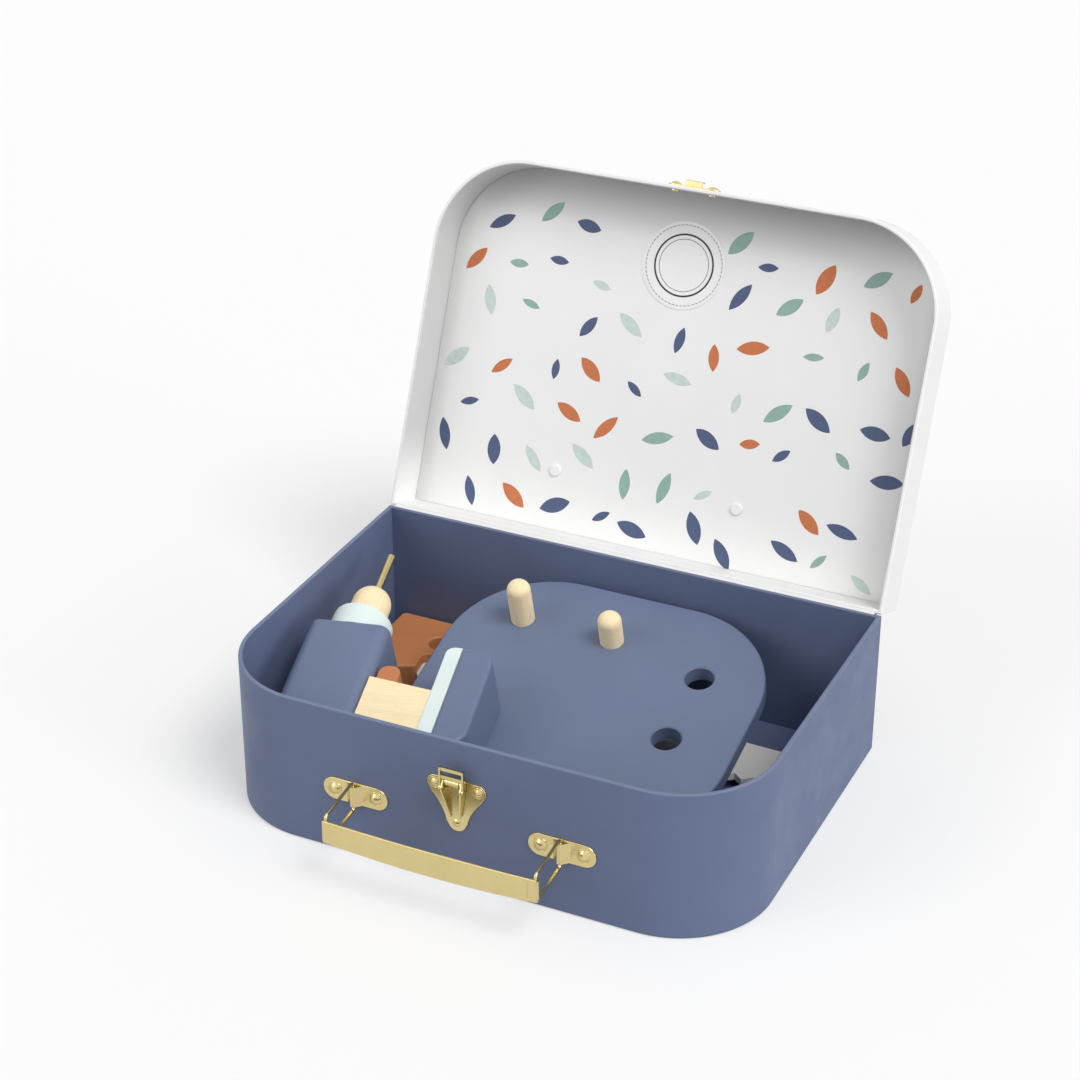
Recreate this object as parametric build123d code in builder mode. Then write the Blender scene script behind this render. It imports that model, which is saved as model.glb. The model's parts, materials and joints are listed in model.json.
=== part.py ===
from build123d import *
import os
from math import asin, cos, degrees, radians, sin, tan

os.makedirs("parts", exist_ok=True)

# A child's card tool case, open, with a peg bench, a drill and a saw in it.
# Millimetres. X runs along the hinge, +Y points to the hinge, +Z up.
# The origin is the centre of the tray's underside.

# Case: outer sizes of the tray and the lid
case_width = 285.0
case_depth = 198.0
tray_height = 82.0
lid_height = 29.0
wall = 2.2
base_thickness = 2.2
panel_thickness = 2.2
front_radius = 50.0
rear_radius = 2.6
least_corner_radius = 0.2
rim_round = 0.8
outer_round = 1.6
rim_gap = 0.4
lid_open_angle = 113.0

# Lining, label and caps inside the lid
lining_thickness = 0.4
lining_clearance = 0.3
label_diameter = 47.0
label_thickness = 0.4
label_shift = -6.0
label_from_front = 41.0
cap_diameter = 7.0
cap_height = 1.2
cap_round = 0.96
cap_spacing = 106.5
cap_shift = -6.1
cap_from_hinge = 34.8

# Cloth hinge strips, one on the tray and one on the lid
tape_width = 18.0
tape_thickness = 0.3
tape_from_hinge = 3.0
tape_end_gap = 1.0

# Brass fittings and their rivets
fittings_shift = -1.2
plate_thickness = 0.8
plate_round = 0.3
shank_radius = 1.4
head_radius = 3.1
head_height = 1.5
tail_radius = 2.6
tail_height = 0.7

# Handle: two wire loops in brackets, and a flat grip between them
handle_height = 36.8
bracket_pitch = 111.0
bracket_length = 35.5
bracket_width = 12.5
bracket_rivet_pitch = 22.4
strap_width = 9.0
strap_height = 11.4
strap_thickness = 0.9
wire_radius = 0.85
wire_off_wall = 2.7
wire_clearance = 0.08
ring_reach = 27.3
ring_height = 15.8
ring_droop = 3.0
ring_bend_radius = 2.0
ring_end_gap = 0.6
knuckle_thickness = 1.0
knuckle_length = 10.6
grip_plate_thickness = 1.2
grip_end_reach = 1.2
grip_end_height = 12.6
grip_top_drop = 1.0
grip_bottom_drop = 2.6
grip_end_round = 0.8
grip_edge_round = 0.4

# Latch: three-cornered plate, tapered lever and upright loop
latch_top_height = 56.4
latch_toe_drop = 20.3
latch_rivet_pitch = 23.0
latch_lobe_radius = 4.2
latch_toe_radius = 4.8
latch_head_radius = 2.3
latch_head_height = 1.1
latch_waist = 1.4
latch_waist_radius = 30.0
lever_pin_rise = 4.4
lever_pin_radius = 0.8
lever_pin_off_wall = 3.3
lever_pin_clearance = 0.06
lever_pivot_radius = 2.2
lever_half_width = 5.4
lever_toe_half_width = 2.8
lever_taper_start = 4.6
lever_length = 20.0
lever_wall = 0.8
lever_toe_radius = 0.8
lever_gap = 0.4
ear_thickness = 0.8
ear_gap = 0.2
ear_radius = 1.8
ear_foot_rise = 1.2
ear_foot_height = 1.8
ear_slot_gap = 0.2
link_drop = 2.7
link_out = 2.1
link_pin_radius = 0.7
link_boss_radius = 1.7
loop_eye_radius = 1.6
loop_leg_width = 1.9
loop_leg_thickness = 0.9
loop_leg_gap = 0.2
loop_length = 11.6
loop_bar_height = 1.8
loop_bar_thickness = 1.2
loop_bar_spacing = 4.4

# Catch on the lid's front wall
catch_length = 29.0
catch_width = 8.4
catch_from_rim = 9.0
catch_rivet_pitch = 21.0
hook_width = 9.4
hook_reach = 3.0
hook_length = 4.2
hook_sheet = 0.8
hook_round = 0.6

# Peg bench: a round-cornered board on two rails, sloping down to the front
bench_width = 177.0
bench_length = 158.0
bench_thickness = 9.0
bench_corner_radius = 56.0
bench_edge_round = 1.4
bench_tilt = 15.0
bench_from_left = 63.8
bench_from_rear = 6.3
bench_rear_height = 63.0
rest_gap = 0.1
peg_diameter = 12.7
peg_clearance = 0.1
open_hole_diameter = 15.4
hole_chamfer = 0.7
peg_length = 42.0
peg_dome_round = 5.9
peg_foot_chamfer = 1.0
peg_tall_height = 26.6
peg_short_height = 19.6
peg_tall_place = (-53.0, 44.7)
peg_short_place = (-1.2, 44.0)
hole_rear_place = (52.4, 33.0)
hole_front_place = (52.2, -11.2)
rail_length = 115.0
rail_thickness = 12.0
rail_round = 1.0
rear_rail_from_wall = 13.8
front_rail_from_edge = 19.0
bench_dowel_diameter = 5.0
bench_dowel_in_board = 6.0
bench_dowel_in_rail = 10.0
bench_dowel_pitch = 80.0

# Drill: lies on the bench board, its barrel over the board's left edge
drill_overhang = 31.6
drill_from_front = 99.7
drill_turn = 10.2
drill_gap = 0.2
drill_thickness = 34.0
barrel_width = 43.5
barrel_length = 80.0
barrel_round = 6.0
barrel_end_round = 2.0
collar_radius = 16.2
collar_length = 14.8
collar_round = 1.2
chuck_radius = 10.5
chuck_gap = 0.3
chuck_length = 23.9
chuck_tip_flat = 0.3
bit_radius = 2.1
bit_length = 40.0
bit_in_chuck = 12.0
bit_chamfer = 0.5
spindle_radius = 5.0
spindle_clearance = 0.08
spindle_in_chuck = 9.0
spindle_in_barrel = 25.0
spindle_end_gap = 1.0
groove_width = 3.4
groove_depth = 1.6
groove_from_front = 15.0
spindle_pin_radius = 1.5
spindle_pin_gap = 0.15
spindle_pin_length = 22.0
grip_width = 30.0
grip_length = 34.1
grip_inset = 1.0
grip_from_front = 35.5
grip_rake = 5.3
grip_round = 1.6
band_thickness = 8.1
band_inset = 0.6
band_corner_round = 4.5
band_edge_round = 0.6
battery_length = 17.9
battery_width = 65.0
battery_from_front = 10.8
battery_corner_round = 10.0
battery_edge_round = 2.0
drill_dowel_diameter = 6.0
grip_dowel_length = 16.0
grip_dowel_from_back = 6.0
battery_dowel_length = 28.0
battery_dowel_pitch = 15.0

# Trigger: a half-round block that slides into the grip against a spring
trigger_width = 11.5
trigger_thickness = 24.0
trigger_proud = 11.7
trigger_travel = 4.0
trigger_in_grip = 11.0
trigger_from_barrel = 1.5
trigger_clearance = 0.12
trigger_nose_round = 5.2
trigger_edge_round = 0.8
trigger_pin_radius = 1.5
trigger_pin_gap = 0.15
trigger_pin_from_face = 6.5
trigger_pin_length = 22.0
pocket_depth = 18.2
spring_turns = 3
spring_radius = 3.2
spring_wire_radius = 0.35
spring_end_gap = 0.05

# Saw: handle and blade lie flat on the tray floor, half under the bench board
saw_from_left = 6.6
saw_from_rear = 1.4
saw_handle_length = 70.0
saw_handle_thickness = 15.2
saw_bow_depth = 35.0
saw_rear_depth = 16.0
saw_rear_slope = 5.0
saw_horn_left = 22.0
saw_horn_right = 31.0
saw_horn_tip = 33.0
saw_horn_tip_rise = 5.0
saw_horn_depth = 54.0
saw_corner_round = 3.0
saw_edge_round = 1.2
hand_hole_length = 34.0
hand_hole_width = 13.0
hand_hole_from_left = 28.0
hand_hole_from_rear = 22.0
blade_thickness = 4.0
blade_start = 12.0
blade_root_step = 8.0
blade_root_depth = 45.0
blade_end = 256.0
blade_back_depth = 29.5
blade_tip_depth = 36.4
blade_edge_depth = 68.4
blade_end_slope = 12.0
tooth_pitch = 10.0
tooth_depth = 4.0
tooth_start = 45.0
tooth_count = 20
saw_dowel_radius = 2.0
saw_dowel_length = 12.0
saw_dowel_places = ((18.5, -33.5), (22.5, -41.5))

# Levels that the pieces share
front_y = -case_depth / 2
rear_y = case_depth / 2
inner_left = -case_width / 2 + wall
inner_rear = rear_y - wall
floor_z = base_thickness

# Planes of the case: the plan planes have their origin in the middle of the hinge side
open_angle = radians(lid_open_angle)
tray_plane = Plane(origin=(0, rear_y, 0))
tray_rear_plane = Plane(origin=(0, rear_y, 0), x_dir=(-1, 0, 0), z_dir=(0, 1, 0))
front_plane = Plane(origin=(fittings_shift, front_y, 0), x_dir=(1, 0, 0), z_dir=(0, -1, 0))
lid_plane = Plane(
    origin=(0, rear_y, tray_height),
    x_dir=(1, 0, 0),
    z_dir=(0, sin(open_angle), cos(open_angle)),
)
lid_rear_plane = Plane(origin=lid_plane.origin, x_dir=(-1, 0, 0), z_dir=lid_plane.y_dir)
catch_plane = Plane(
    origin=lid_plane.from_local_coords((fittings_shift, -case_depth, catch_from_rim)),
    x_dir=(1, 0, 0),
    z_dir=lid_plane.y_dir * -1,
)

# Planes of the bench: its origin is the middle of the board's top, +Y up the slope
tilt = radians(bench_tilt)
slope_dir = Vector(0, cos(tilt), sin(tilt))
bench_rear_edge = Vector(
    inner_left + bench_from_left + bench_width / 2,
    inner_rear - bench_from_rear,
    floor_z + bench_rear_height,
)
bench_plane = Plane(
    origin=bench_rear_edge - slope_dir * (bench_length / 2),
    x_dir=(1, 0, 0),
    z_dir=(0, -sin(tilt), cos(tilt)),
)
bench_under = bench_plane.offset(-bench_thickness)
bench_up = Axis(bench_plane.origin, bench_plane.z_dir)

# Planes of the drill: X across from barrel to battery, +Y along the barrel to the bit.
# Its place down the slope is measured from the tray's front wall, along the board.
slope_room = (case_depth - 2 * wall - bench_from_rear) / cos(tilt)
drill_down_slope = slope_room - drill_from_front
drill_plane = Plane(
    bench_plane.location
    * Location(
        (-bench_width / 2 - drill_overhang, bench_length / 2 - drill_down_slope, drill_gap),
        (0, 0, drill_turn),
    )
)
drill_across = Axis(drill_plane.origin, drill_plane.x_dir)
drill_along = Axis(drill_plane.origin, drill_plane.y_dir)
drill_up = Axis(drill_plane.origin, drill_plane.z_dir)
barrel_centre = drill_plane.from_local_coords((0, 0, drill_thickness / 2))
nose_plane = Plane(origin=barrel_centre, x_dir=drill_plane.x_dir, z_dir=drill_plane.y_dir)
side_plane = Plane(origin=barrel_centre, x_dir=drill_plane.y_dir, z_dir=drill_plane.x_dir)

saw_plane = Plane(origin=(inner_left + saw_from_left, inner_rear - saw_from_rear, floor_z + rest_gap))


def case_plan(level, inset):
    """Plan of the case at a level: round corners at the front, square ones at the hinge."""
    with BuildSketch(level) as plan:
        with Locations((0, -case_depth / 2)):
            Rectangle(case_width - 2 * inset, case_depth - 2 * inset)
        front_corners = plan.vertices().group_by(Axis.Y)[0]
        rear_corners = plan.vertices().group_by(Axis.Y)[-1]
        fillet(front_corners, front_radius - inset)
        fillet(rear_corners, max(rear_radius - inset, least_corner_radius))
    return plan.sketch


def shank_holes(face, places):
    """Rivet holes in a face, as a sketch."""
    with BuildSketch(face) as holes:
        with Locations(*places):
            Circle(shank_radius)
    return holes.sketch


def make_rivets(face, places, radius, height):
    """Rivets through a plate and a wall: domed head outside, flat tail inside."""
    dome_radius = (radius**2 + height**2) / (2 * height)
    dome_sweep = degrees(asin(radius / dome_radius))
    with BuildPart() as rivets:
        for place in places:
            foot = face.from_local_coords((*place, plate_thickness))
            profile = Plane(origin=foot, x_dir=face.x_dir, z_dir=face.y_dir * -1)
            with BuildSketch(profile):
                with BuildLine():
                    CenterArc((0, height - dome_radius), dome_radius, 90 - dome_sweep, dome_sweep)
                    Polyline((0, height), (0, 0), (radius, 0))
                make_face()
            revolve(axis=Axis(foot, face.z_dir))
        extrude(shank_holes(face.offset(-wall), places), amount=wall + plate_thickness)
        with BuildSketch(face.offset(-wall)):
            with Locations(*places):
                Circle(tail_radius)
        extrude(amount=-tail_height)
    return rivets


bracket_places = {"left": -bracket_pitch / 2, "right": bracket_pitch / 2}
bracket_rivet_places = [
    (place + side * bracket_rivet_pitch / 2, handle_height)
    for place in bracket_places.values()
    for side in (-1, 1)
]
latch_rivet_places = [
    (-latch_rivet_pitch / 2, latch_top_height),
    (latch_rivet_pitch / 2, latch_top_height),
    (0, latch_top_height - latch_toe_drop),
]
catch_rivet_places = [(-catch_rivet_pitch / 2, 0), (catch_rivet_pitch / 2, 0)]


# Tray: a bent card wall with the floor let into it
with BuildPart() as tray_wall:
    extrude(case_plan(tray_plane, 0), amount=tray_height)
    fillet(tray_wall.faces().sort_by(Axis.Z)[0].edges(), outer_round)
    extrude(case_plan(tray_plane, wall), amount=tray_height, mode=Mode.SUBTRACT)
    fillet(tray_wall.faces().sort_by(Axis.Z)[-1].edges(), rim_round)
    front_holes = shank_holes(front_plane, bracket_rivet_places + latch_rivet_places)
    extrude(front_holes, amount=-wall, mode=Mode.SUBTRACT)
tray_wall.part.label = "tray_wall"
export_step(tray_wall.part, "parts/tray_wall.step")

with BuildPart() as tray_base:
    extrude(case_plan(tray_plane, wall), amount=base_thickness)
tray_base.part.label = "tray_base"
export_step(tray_base.part, "parts/tray_base.step")


# Lid: the same, with a printed lining, a round label and two caps inside
with BuildPart() as lid_wall:
    extrude(case_plan(lid_plane.offset(rim_gap), 0), amount=lid_height - rim_gap)
    lid_up = Axis(lid_plane.origin, lid_plane.z_dir)
    fillet(lid_wall.edges().group_by(lid_up)[-1], outer_round)
    extrude(case_plan(lid_plane.offset(rim_gap), wall), amount=lid_height, mode=Mode.SUBTRACT)
    fillet(lid_wall.faces().sort_by(lid_up)[0].edges(), rim_round)
    extrude(shank_holes(catch_plane, catch_rivet_places), amount=-wall, mode=Mode.SUBTRACT)
lid_wall.part.label = "lid_wall"
export_step(lid_wall.part, "parts/lid_wall.step")

with BuildPart() as lid_panel:
    extrude(case_plan(lid_plane.offset(lid_height), wall), amount=-panel_thickness)
lid_panel.part.label = "lid_panel"
export_step(lid_panel.part, "parts/lid_panel.step")

panel_inside = lid_plane.offset(lid_height - panel_thickness)
lining_inside = panel_inside.offset(-lining_thickness)

with BuildPart() as lid_lining:
    extrude(case_plan(panel_inside, wall + lining_clearance), amount=-lining_thickness)
lid_lining.part.label = "lid_lining"
export_step(lid_lining.part, "parts/lid_lining.step")

with BuildPart() as round_label:
    with BuildSketch(lining_inside):
        with Locations((label_shift, label_from_front - case_depth)):
            Circle(label_diameter / 2)
    extrude(amount=-label_thickness)
round_label.part.label = "round_label"
export_step(round_label.part, "parts/round_label.step")

with BuildPart() as lid_caps:
    with BuildSketch(lining_inside):
        with Locations((cap_shift, -cap_from_hinge)):
            with GridLocations(cap_spacing, 0, 2, 1):
                Circle(cap_diameter / 2)
    extrude(amount=-cap_height)
    fillet(lid_caps.edges().group_by(Axis(lid_plane.origin, lid_plane.z_dir))[0], cap_round)
lid_caps.part.label = "lid_caps"
export_step(lid_caps.part, "parts/lid_caps.step")


# Hinge: cloth strips glued to the backs of the tray and the lid
tape_length = case_width - 2 * (rear_radius + tape_end_gap)
tape_middle = tape_from_hinge + tape_width / 2

with BuildPart() as hinge_tape_tray:
    with BuildSketch(tray_rear_plane):
        with Locations((0, tray_height - tape_middle)):
            Rectangle(tape_length, tape_width)
    extrude(amount=tape_thickness)
hinge_tape_tray.part.label = "hinge_tape_tray"
export_step(hinge_tape_tray.part, "parts/hinge_tape_tray.step")

with BuildPart() as hinge_tape_lid:
    with BuildSketch(lid_rear_plane):
        with Locations((0, tape_middle)):
            Rectangle(tape_length, tape_width)
    extrude(amount=tape_thickness)
hinge_tape_lid.part.label = "hinge_tape_lid"
export_step(hinge_tape_lid.part, "parts/hinge_tape_lid.step")


# Handle brackets: an oblong plate with a raised strap that holds the wire
wire_y = front_y - wire_off_wall
strap_radius = wire_radius + wire_clearance + strap_thickness


def make_bracket(place):
    """Handle bracket with its strap in the middle, at a place along the front wall."""
    strap_level = Plane.XY.offset(handle_height - strap_height / 2)
    world_x = fittings_shift + place
    with BuildPart() as bracket:
        with BuildSketch(front_plane):
            with Locations((place, handle_height)):
                SlotOverall(bracket_length, bracket_width)
        extrude(amount=plate_thickness)
        fillet(bracket.edges().group_by(Axis.Y)[0], plate_round)
        with BuildSketch(strap_level):
            with Locations((world_x, wire_y)):
                Circle(strap_radius)
            with Locations((world_x, front_y - plate_thickness / 2)):
                Rectangle(strap_width, plate_thickness)
            make_hull()
        extrude(amount=strap_height)
        with BuildSketch(strap_level):
            with Locations((world_x, wire_y)):
                Circle(wire_radius + wire_clearance)
        extrude(amount=strap_height, mode=Mode.SUBTRACT)
        rivet_places = [(place + side * bracket_rivet_pitch / 2, handle_height) for side in (-1, 1)]
        extrude(shank_holes(front_plane, rivet_places), amount=plate_thickness, mode=Mode.SUBTRACT)
    return bracket


for side, place in bracket_places.items():
    handle_bracket = make_bracket(place)
    handle_bracket.part.label = f"handle_bracket_{side}"
    export_step(handle_bracket.part, f"parts/handle_bracket_{side}.step")

bracket_rivets = make_rivets(front_plane, bracket_rivet_places, head_radius, head_height)
bracket_rivets.part.label = "bracket_rivets"
export_step(bracket_rivets.part, "parts/bracket_rivets.step")


# Handle rings: bent wire, upright in the strap and in the grip's end
grip_y = wire_y - ring_reach


def make_ring(world_x):
    """Wire ring of the handle, in the YZ plane at world_x, its ends meeting in the strap."""
    top = handle_height + ring_height / 2
    bottom = handle_height - ring_height / 2
    corners = [
        (wire_y, handle_height + ring_end_gap / 2),
        (wire_y, top),
        (grip_y, top - ring_droop),
        (grip_y, bottom - ring_droop),
        (wire_y, bottom),
        (wire_y, handle_height - ring_end_gap / 2),
    ]
    with BuildPart() as ring:
        with BuildLine(Plane.YZ.offset(world_x)) as route:
            FilletPolyline(*corners, radius=ring_bend_radius)
        with BuildSketch(Plane(origin=route.line @ 0, z_dir=route.line % 0)):
            Circle(wire_radius)
        sweep(path=route.line)
    return ring


for side, place in bracket_places.items():
    handle_ring = make_ring(fittings_shift + place)
    handle_ring.part.label = f"handle_ring_{side}"
    export_step(handle_ring.part, f"parts/handle_ring_{side}.step")


# Handle grip: a flat bar, bowed along its lower edge, with a knuckle at each end
knuckle_radius = wire_radius + wire_clearance + knuckle_thickness
grip_plate_y = grip_y - knuckle_radius + grip_plate_thickness / 2
grip_plane = Plane(origin=(fittings_shift, grip_plate_y, 0), x_dir=(1, 0, 0), z_dir=(0, -1, 0))
knuckle_z = handle_height - ring_droop
grip_half = bracket_pitch / 2 + grip_end_reach
grip_top = knuckle_z + grip_end_height / 2
grip_bottom = knuckle_z - grip_end_height / 2
knuckle_level = Plane.XY.offset(knuckle_z - knuckle_length / 2)
knuckle_places = [(fittings_shift + place, grip_y) for place in bracket_places.values()]

with BuildPart() as handle_grip:
    with BuildSketch(grip_plane) as grip_face:
        with BuildLine():
            Line((-grip_half, grip_bottom), (-grip_half, grip_top))
            ThreePointArc((-grip_half, grip_top), (0, grip_top - grip_top_drop), (grip_half, grip_top))
            Line((grip_half, grip_top), (grip_half, grip_bottom))
            ThreePointArc(
                (grip_half, grip_bottom),
                (0, grip_bottom - grip_bottom_drop),
                (-grip_half, grip_bottom),
            )
        make_face()
        fillet(grip_face.vertices(), grip_end_round)
    extrude(amount=grip_plate_thickness / 2, both=True)
    fillet(handle_grip.faces().filter_by(Axis.Y).edges(), grip_edge_round)
    with BuildSketch(knuckle_level):
        with Locations(*knuckle_places):
            Circle(knuckle_radius)
    extrude(amount=knuckle_length)
    with BuildSketch(Plane.XY.offset(knuckle_z)):
        with Locations(*knuckle_places):
            Circle(wire_radius + wire_clearance)
    extrude(amount=grip_end_height, both=True, mode=Mode.SUBTRACT)
handle_grip.part.label = "handle_grip"
export_step(handle_grip.part, "parts/handle_grip.step")


# Latch plate: three lobes, and two ears that carry the lever's pin
latch_section = Plane.YZ.offset(fittings_shift)
lever_pin_height = latch_top_height + lever_pin_rise
lever_pin_place = (front_y - lever_pin_off_wall, lever_pin_height)
link_place = (lever_pin_place[0] - link_out, lever_pin_height - link_drop)
ear_outside = lever_half_width - lever_wall - ear_gap
ear_inside = ear_outside - ear_thickness
ear_foot_middle = latch_top_height + ear_foot_rise + ear_foot_height / 2
waist_side = Vector(latch_rivet_pitch / 2, latch_toe_drop, 0)
waist_out = waist_side.rotate(Axis.Z, -90).normalized()
waist_middle = Vector(0, latch_top_height - latch_toe_drop, 0) + waist_side / 2
waist_centre = waist_middle + waist_out * (latch_toe_radius - latch_waist + latch_waist_radius)

with BuildPart() as latch_plate:
    with BuildSketch(front_plane):
        with Locations(*latch_rivet_places[:2]):
            Circle(latch_lobe_radius)
        with Locations(latch_rivet_places[2]):
            Circle(latch_toe_radius)
        make_hull()
        with Locations((waist_centre.X, waist_centre.Y), (-waist_centre.X, waist_centre.Y)):
            Circle(latch_waist_radius, mode=Mode.SUBTRACT)
    extrude(amount=plate_thickness)
    fillet(latch_plate.edges().group_by(Axis.Y)[0], plate_round)
    for side in (-1, 1):
        with BuildSketch(latch_section.offset(side * ear_outside)):
            with Locations(lever_pin_place):
                Circle(ear_radius)
            with Locations((front_y - plate_thickness / 2, ear_foot_middle)):
                Rectangle(plate_thickness, ear_foot_height)
            make_hull()
        extrude(amount=-side * ear_thickness)
    with BuildSketch(latch_section):
        with Locations(lever_pin_place):
            Circle(lever_pin_radius)
    extrude(amount=lever_half_width, both=True, mode=Mode.SUBTRACT)
    extrude(shank_holes(front_plane, latch_rivet_places), amount=plate_thickness, mode=Mode.SUBTRACT)
latch_plate.part.label = "latch_plate"
export_step(latch_plate.part, "parts/latch_plate.step")

latch_rivets = make_rivets(front_plane, latch_rivet_places, latch_head_radius, latch_head_height)
latch_rivets.part.label = "latch_rivets"
export_step(latch_rivets.part, "parts/latch_rivets.step")

with BuildPart() as latch_pin:
    with BuildSketch(latch_section):
        with Locations(lever_pin_place):
            Circle(lever_pin_radius)
    extrude(amount=lever_half_width, both=True)
latch_pin.part.label = "latch_pin"
export_step(latch_pin.part, "parts/latch_pin.step")


# Latch lever: a channel, open to the front, that tapers to its toe
lever_top = lever_pin_height + lever_pivot_radius
lever_shoulder = lever_pin_height - lever_taper_start
lever_toe = lever_pin_height - lever_length
lever_depth = lever_pin_off_wall + 2 * link_out
ear_slot_width = ear_outside - ear_inside + 2 * ear_slot_gap
lever_back = plate_thickness + lever_gap
lever_floor = lever_back + lever_wall


def lever_front(inset):
    """Front outline of the lever, drawn in by inset, as a list of points."""
    half = lever_half_width - inset
    toe_half = lever_toe_half_width - inset
    toe = lever_toe - lever_toe_radius
    return [
        (-half, lever_top),
        (-half, lever_shoulder),
        (-toe_half, toe),
        (toe_half, toe),
        (half, lever_shoulder),
        (half, lever_top),
    ]


with BuildPart() as latch_lever:
    with BuildSketch(latch_section):
        with Locations(lever_pin_place):
            Circle(lever_pivot_radius)
        with Locations(link_place):
            Circle(link_boss_radius)
        with Locations((front_y - lever_back - lever_toe_radius, lever_toe)):
            Circle(lever_toe_radius)
        make_hull()
    extrude(amount=lever_half_width, both=True)
    with BuildSketch(front_plane):
        Polygon(*lever_front(0), align=None)
    extrude(amount=lever_depth, mode=Mode.INTERSECT)
    with BuildSketch(front_plane.offset(lever_floor)):
        Polygon(*lever_front(lever_wall), align=None)
    extrude(amount=lever_depth, mode=Mode.SUBTRACT)
    with BuildSketch(latch_section):
        with Locations(lever_pin_place):
            Circle(lever_pivot_radius)
    extrude(amount=lever_half_width, both=True)
    with BuildSketch(front_plane):
        with Locations((0, (lever_shoulder + lever_top) / 2)):
            with GridLocations(ear_outside + ear_inside, 0, 2, 1):
                Rectangle(ear_slot_width, lever_top - lever_shoulder)
    extrude(amount=lever_depth, mode=Mode.SUBTRACT)
    with BuildSketch(latch_section):
        with Locations(lever_pin_place):
            Circle(lever_pin_radius + lever_pin_clearance)
        with Locations(link_place):
            Circle(link_pin_radius + lever_pin_clearance)
    extrude(amount=lever_half_width, both=True, mode=Mode.SUBTRACT)
latch_lever.part.label = "latch_lever"
export_step(latch_lever.part, "parts/latch_lever.step")


# Latch loop: two legs with eyes, two cross bars, and pins that join it to the lever
leg_middle = lever_half_width + loop_leg_gap + loop_leg_thickness / 2
leg_outside = leg_middle + loop_leg_thickness / 2
loop_top = link_place[1] + loop_length
link_off_wall = front_y - link_place[0]

with BuildPart() as latch_loop:
    for side in (-1, 1):
        with BuildSketch(latch_section.offset(side * leg_middle)):
            with Locations(link_place):
                Circle(loop_eye_radius)
            with Locations((link_place[0], (link_place[1] + loop_top) / 2)):
                Rectangle(loop_leg_width, loop_length)
        extrude(amount=loop_leg_thickness / 2, both=True)
    with BuildSketch(front_plane.offset(link_off_wall)):
        for drop in (0, loop_bar_spacing):
            with Locations((0, loop_top - loop_bar_height / 2 - drop)):
                Rectangle(2 * leg_outside, loop_bar_height)
    extrude(amount=loop_bar_thickness / 2, both=True)
    for side in (-1, 1):
        with BuildSketch(latch_section.offset(side * ear_outside)):
            with Locations(link_place):
                Circle(link_pin_radius)
        extrude(amount=side * (leg_outside - ear_outside))
latch_loop.part.label = "latch_loop"
export_step(latch_loop.part, "parts/latch_loop.step")


# Lid catch: a riveted plate with a hook that opens away from the rim
catch_section = Plane(origin=catch_plane.origin, x_dir=catch_plane.y_dir, z_dir=(1, 0, 0))

with BuildPart() as lid_catch:
    with BuildSketch(catch_plane):
        SlotOverall(catch_length, catch_width)
    extrude(amount=plate_thickness)
    fillet(lid_catch.edges().group_by(Axis(catch_plane.origin, catch_plane.z_dir))[-1], plate_round)
    with BuildSketch(catch_section) as hook:
        with Locations((-hook_length / 2 + hook_sheet / 2, plate_thickness / 2 + hook_reach / 2)):
            Rectangle(hook_sheet, plate_thickness + hook_reach)
        with Locations((0, plate_thickness + hook_reach - hook_sheet / 2)):
            Rectangle(hook_length, hook_sheet)
        outer_corner = hook.vertices().sort_by(Axis.Y)[-2:].sort_by(Axis.X)[0]
        fillet(outer_corner, hook_round)
    extrude(amount=hook_width / 2, both=True)
    extrude(shank_holes(catch_plane, catch_rivet_places), amount=plate_thickness, mode=Mode.SUBTRACT)
lid_catch.part.label = "lid_catch"
export_step(lid_catch.part, "parts/lid_catch.step")

catch_rivets = make_rivets(catch_plane, catch_rivet_places, head_radius, head_height)
catch_rivets.part.label = "catch_rivets"
export_step(catch_rivets.part, "parts/catch_rivets.step")


# Bench board and the rails that hold it at its slope
peg_hole_radius = peg_diameter / 2 + peg_clearance
open_hole_radius = open_hole_diameter / 2
bench_front_y = bench_under.from_local_coords((0, -bench_length / 2, 0)).Y
rail_middles = (inner_rear - rear_rail_from_wall, bench_front_y + front_rail_from_edge)


def underside_z(y):
    """Height of the board's underside above the origin, at a place along Y."""
    return bench_under.origin.Z + tan(tilt) * (y - bench_under.origin.Y)


def dowel_places():
    """Places of the rail dowels on the board's underside, midway in the rails' thickness."""
    lean = sin(tilt) * bench_dowel_in_rail / 2
    slopes = [(middle - lean - bench_under.origin.Y) / cos(tilt) for middle in rail_middles]
    return [(side * bench_dowel_pitch / 2, slope) for slope in slopes for side in (-1, 1)]


def bench_dowel_rods():
    """The dowels' outline on the plane where their upper ends lie."""
    with BuildSketch(bench_under.offset(bench_dowel_in_board)) as rods:
        with Locations(*dowel_places()):
            Circle(bench_dowel_diameter / 2)
    return rods.sketch


bench_dowel_length = bench_dowel_in_board + bench_dowel_in_rail

with BuildPart(bench_plane) as bench_board:
    with BuildSketch(bench_plane) as board_face:
        Rectangle(bench_width, bench_length)
        fillet(board_face.vertices(), bench_corner_radius)
    extrude(amount=-bench_thickness)
    fillet(bench_board.edges().group_by(bench_up)[-1], bench_edge_round)
    fillet(bench_board.edges().group_by(bench_up)[0], bench_edge_round)
    with Locations(peg_tall_place, peg_short_place):
        Hole(peg_hole_radius)
    with Locations(hole_rear_place, hole_front_place):
        CounterSinkHole(open_hole_radius, open_hole_radius + hole_chamfer, counter_sink_angle=90)
    extrude(bench_dowel_rods(), amount=-bench_dowel_length, mode=Mode.SUBTRACT)
bench_board.part.label = "bench_board"
export_step(bench_board.part, "parts/bench_board.step")

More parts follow.
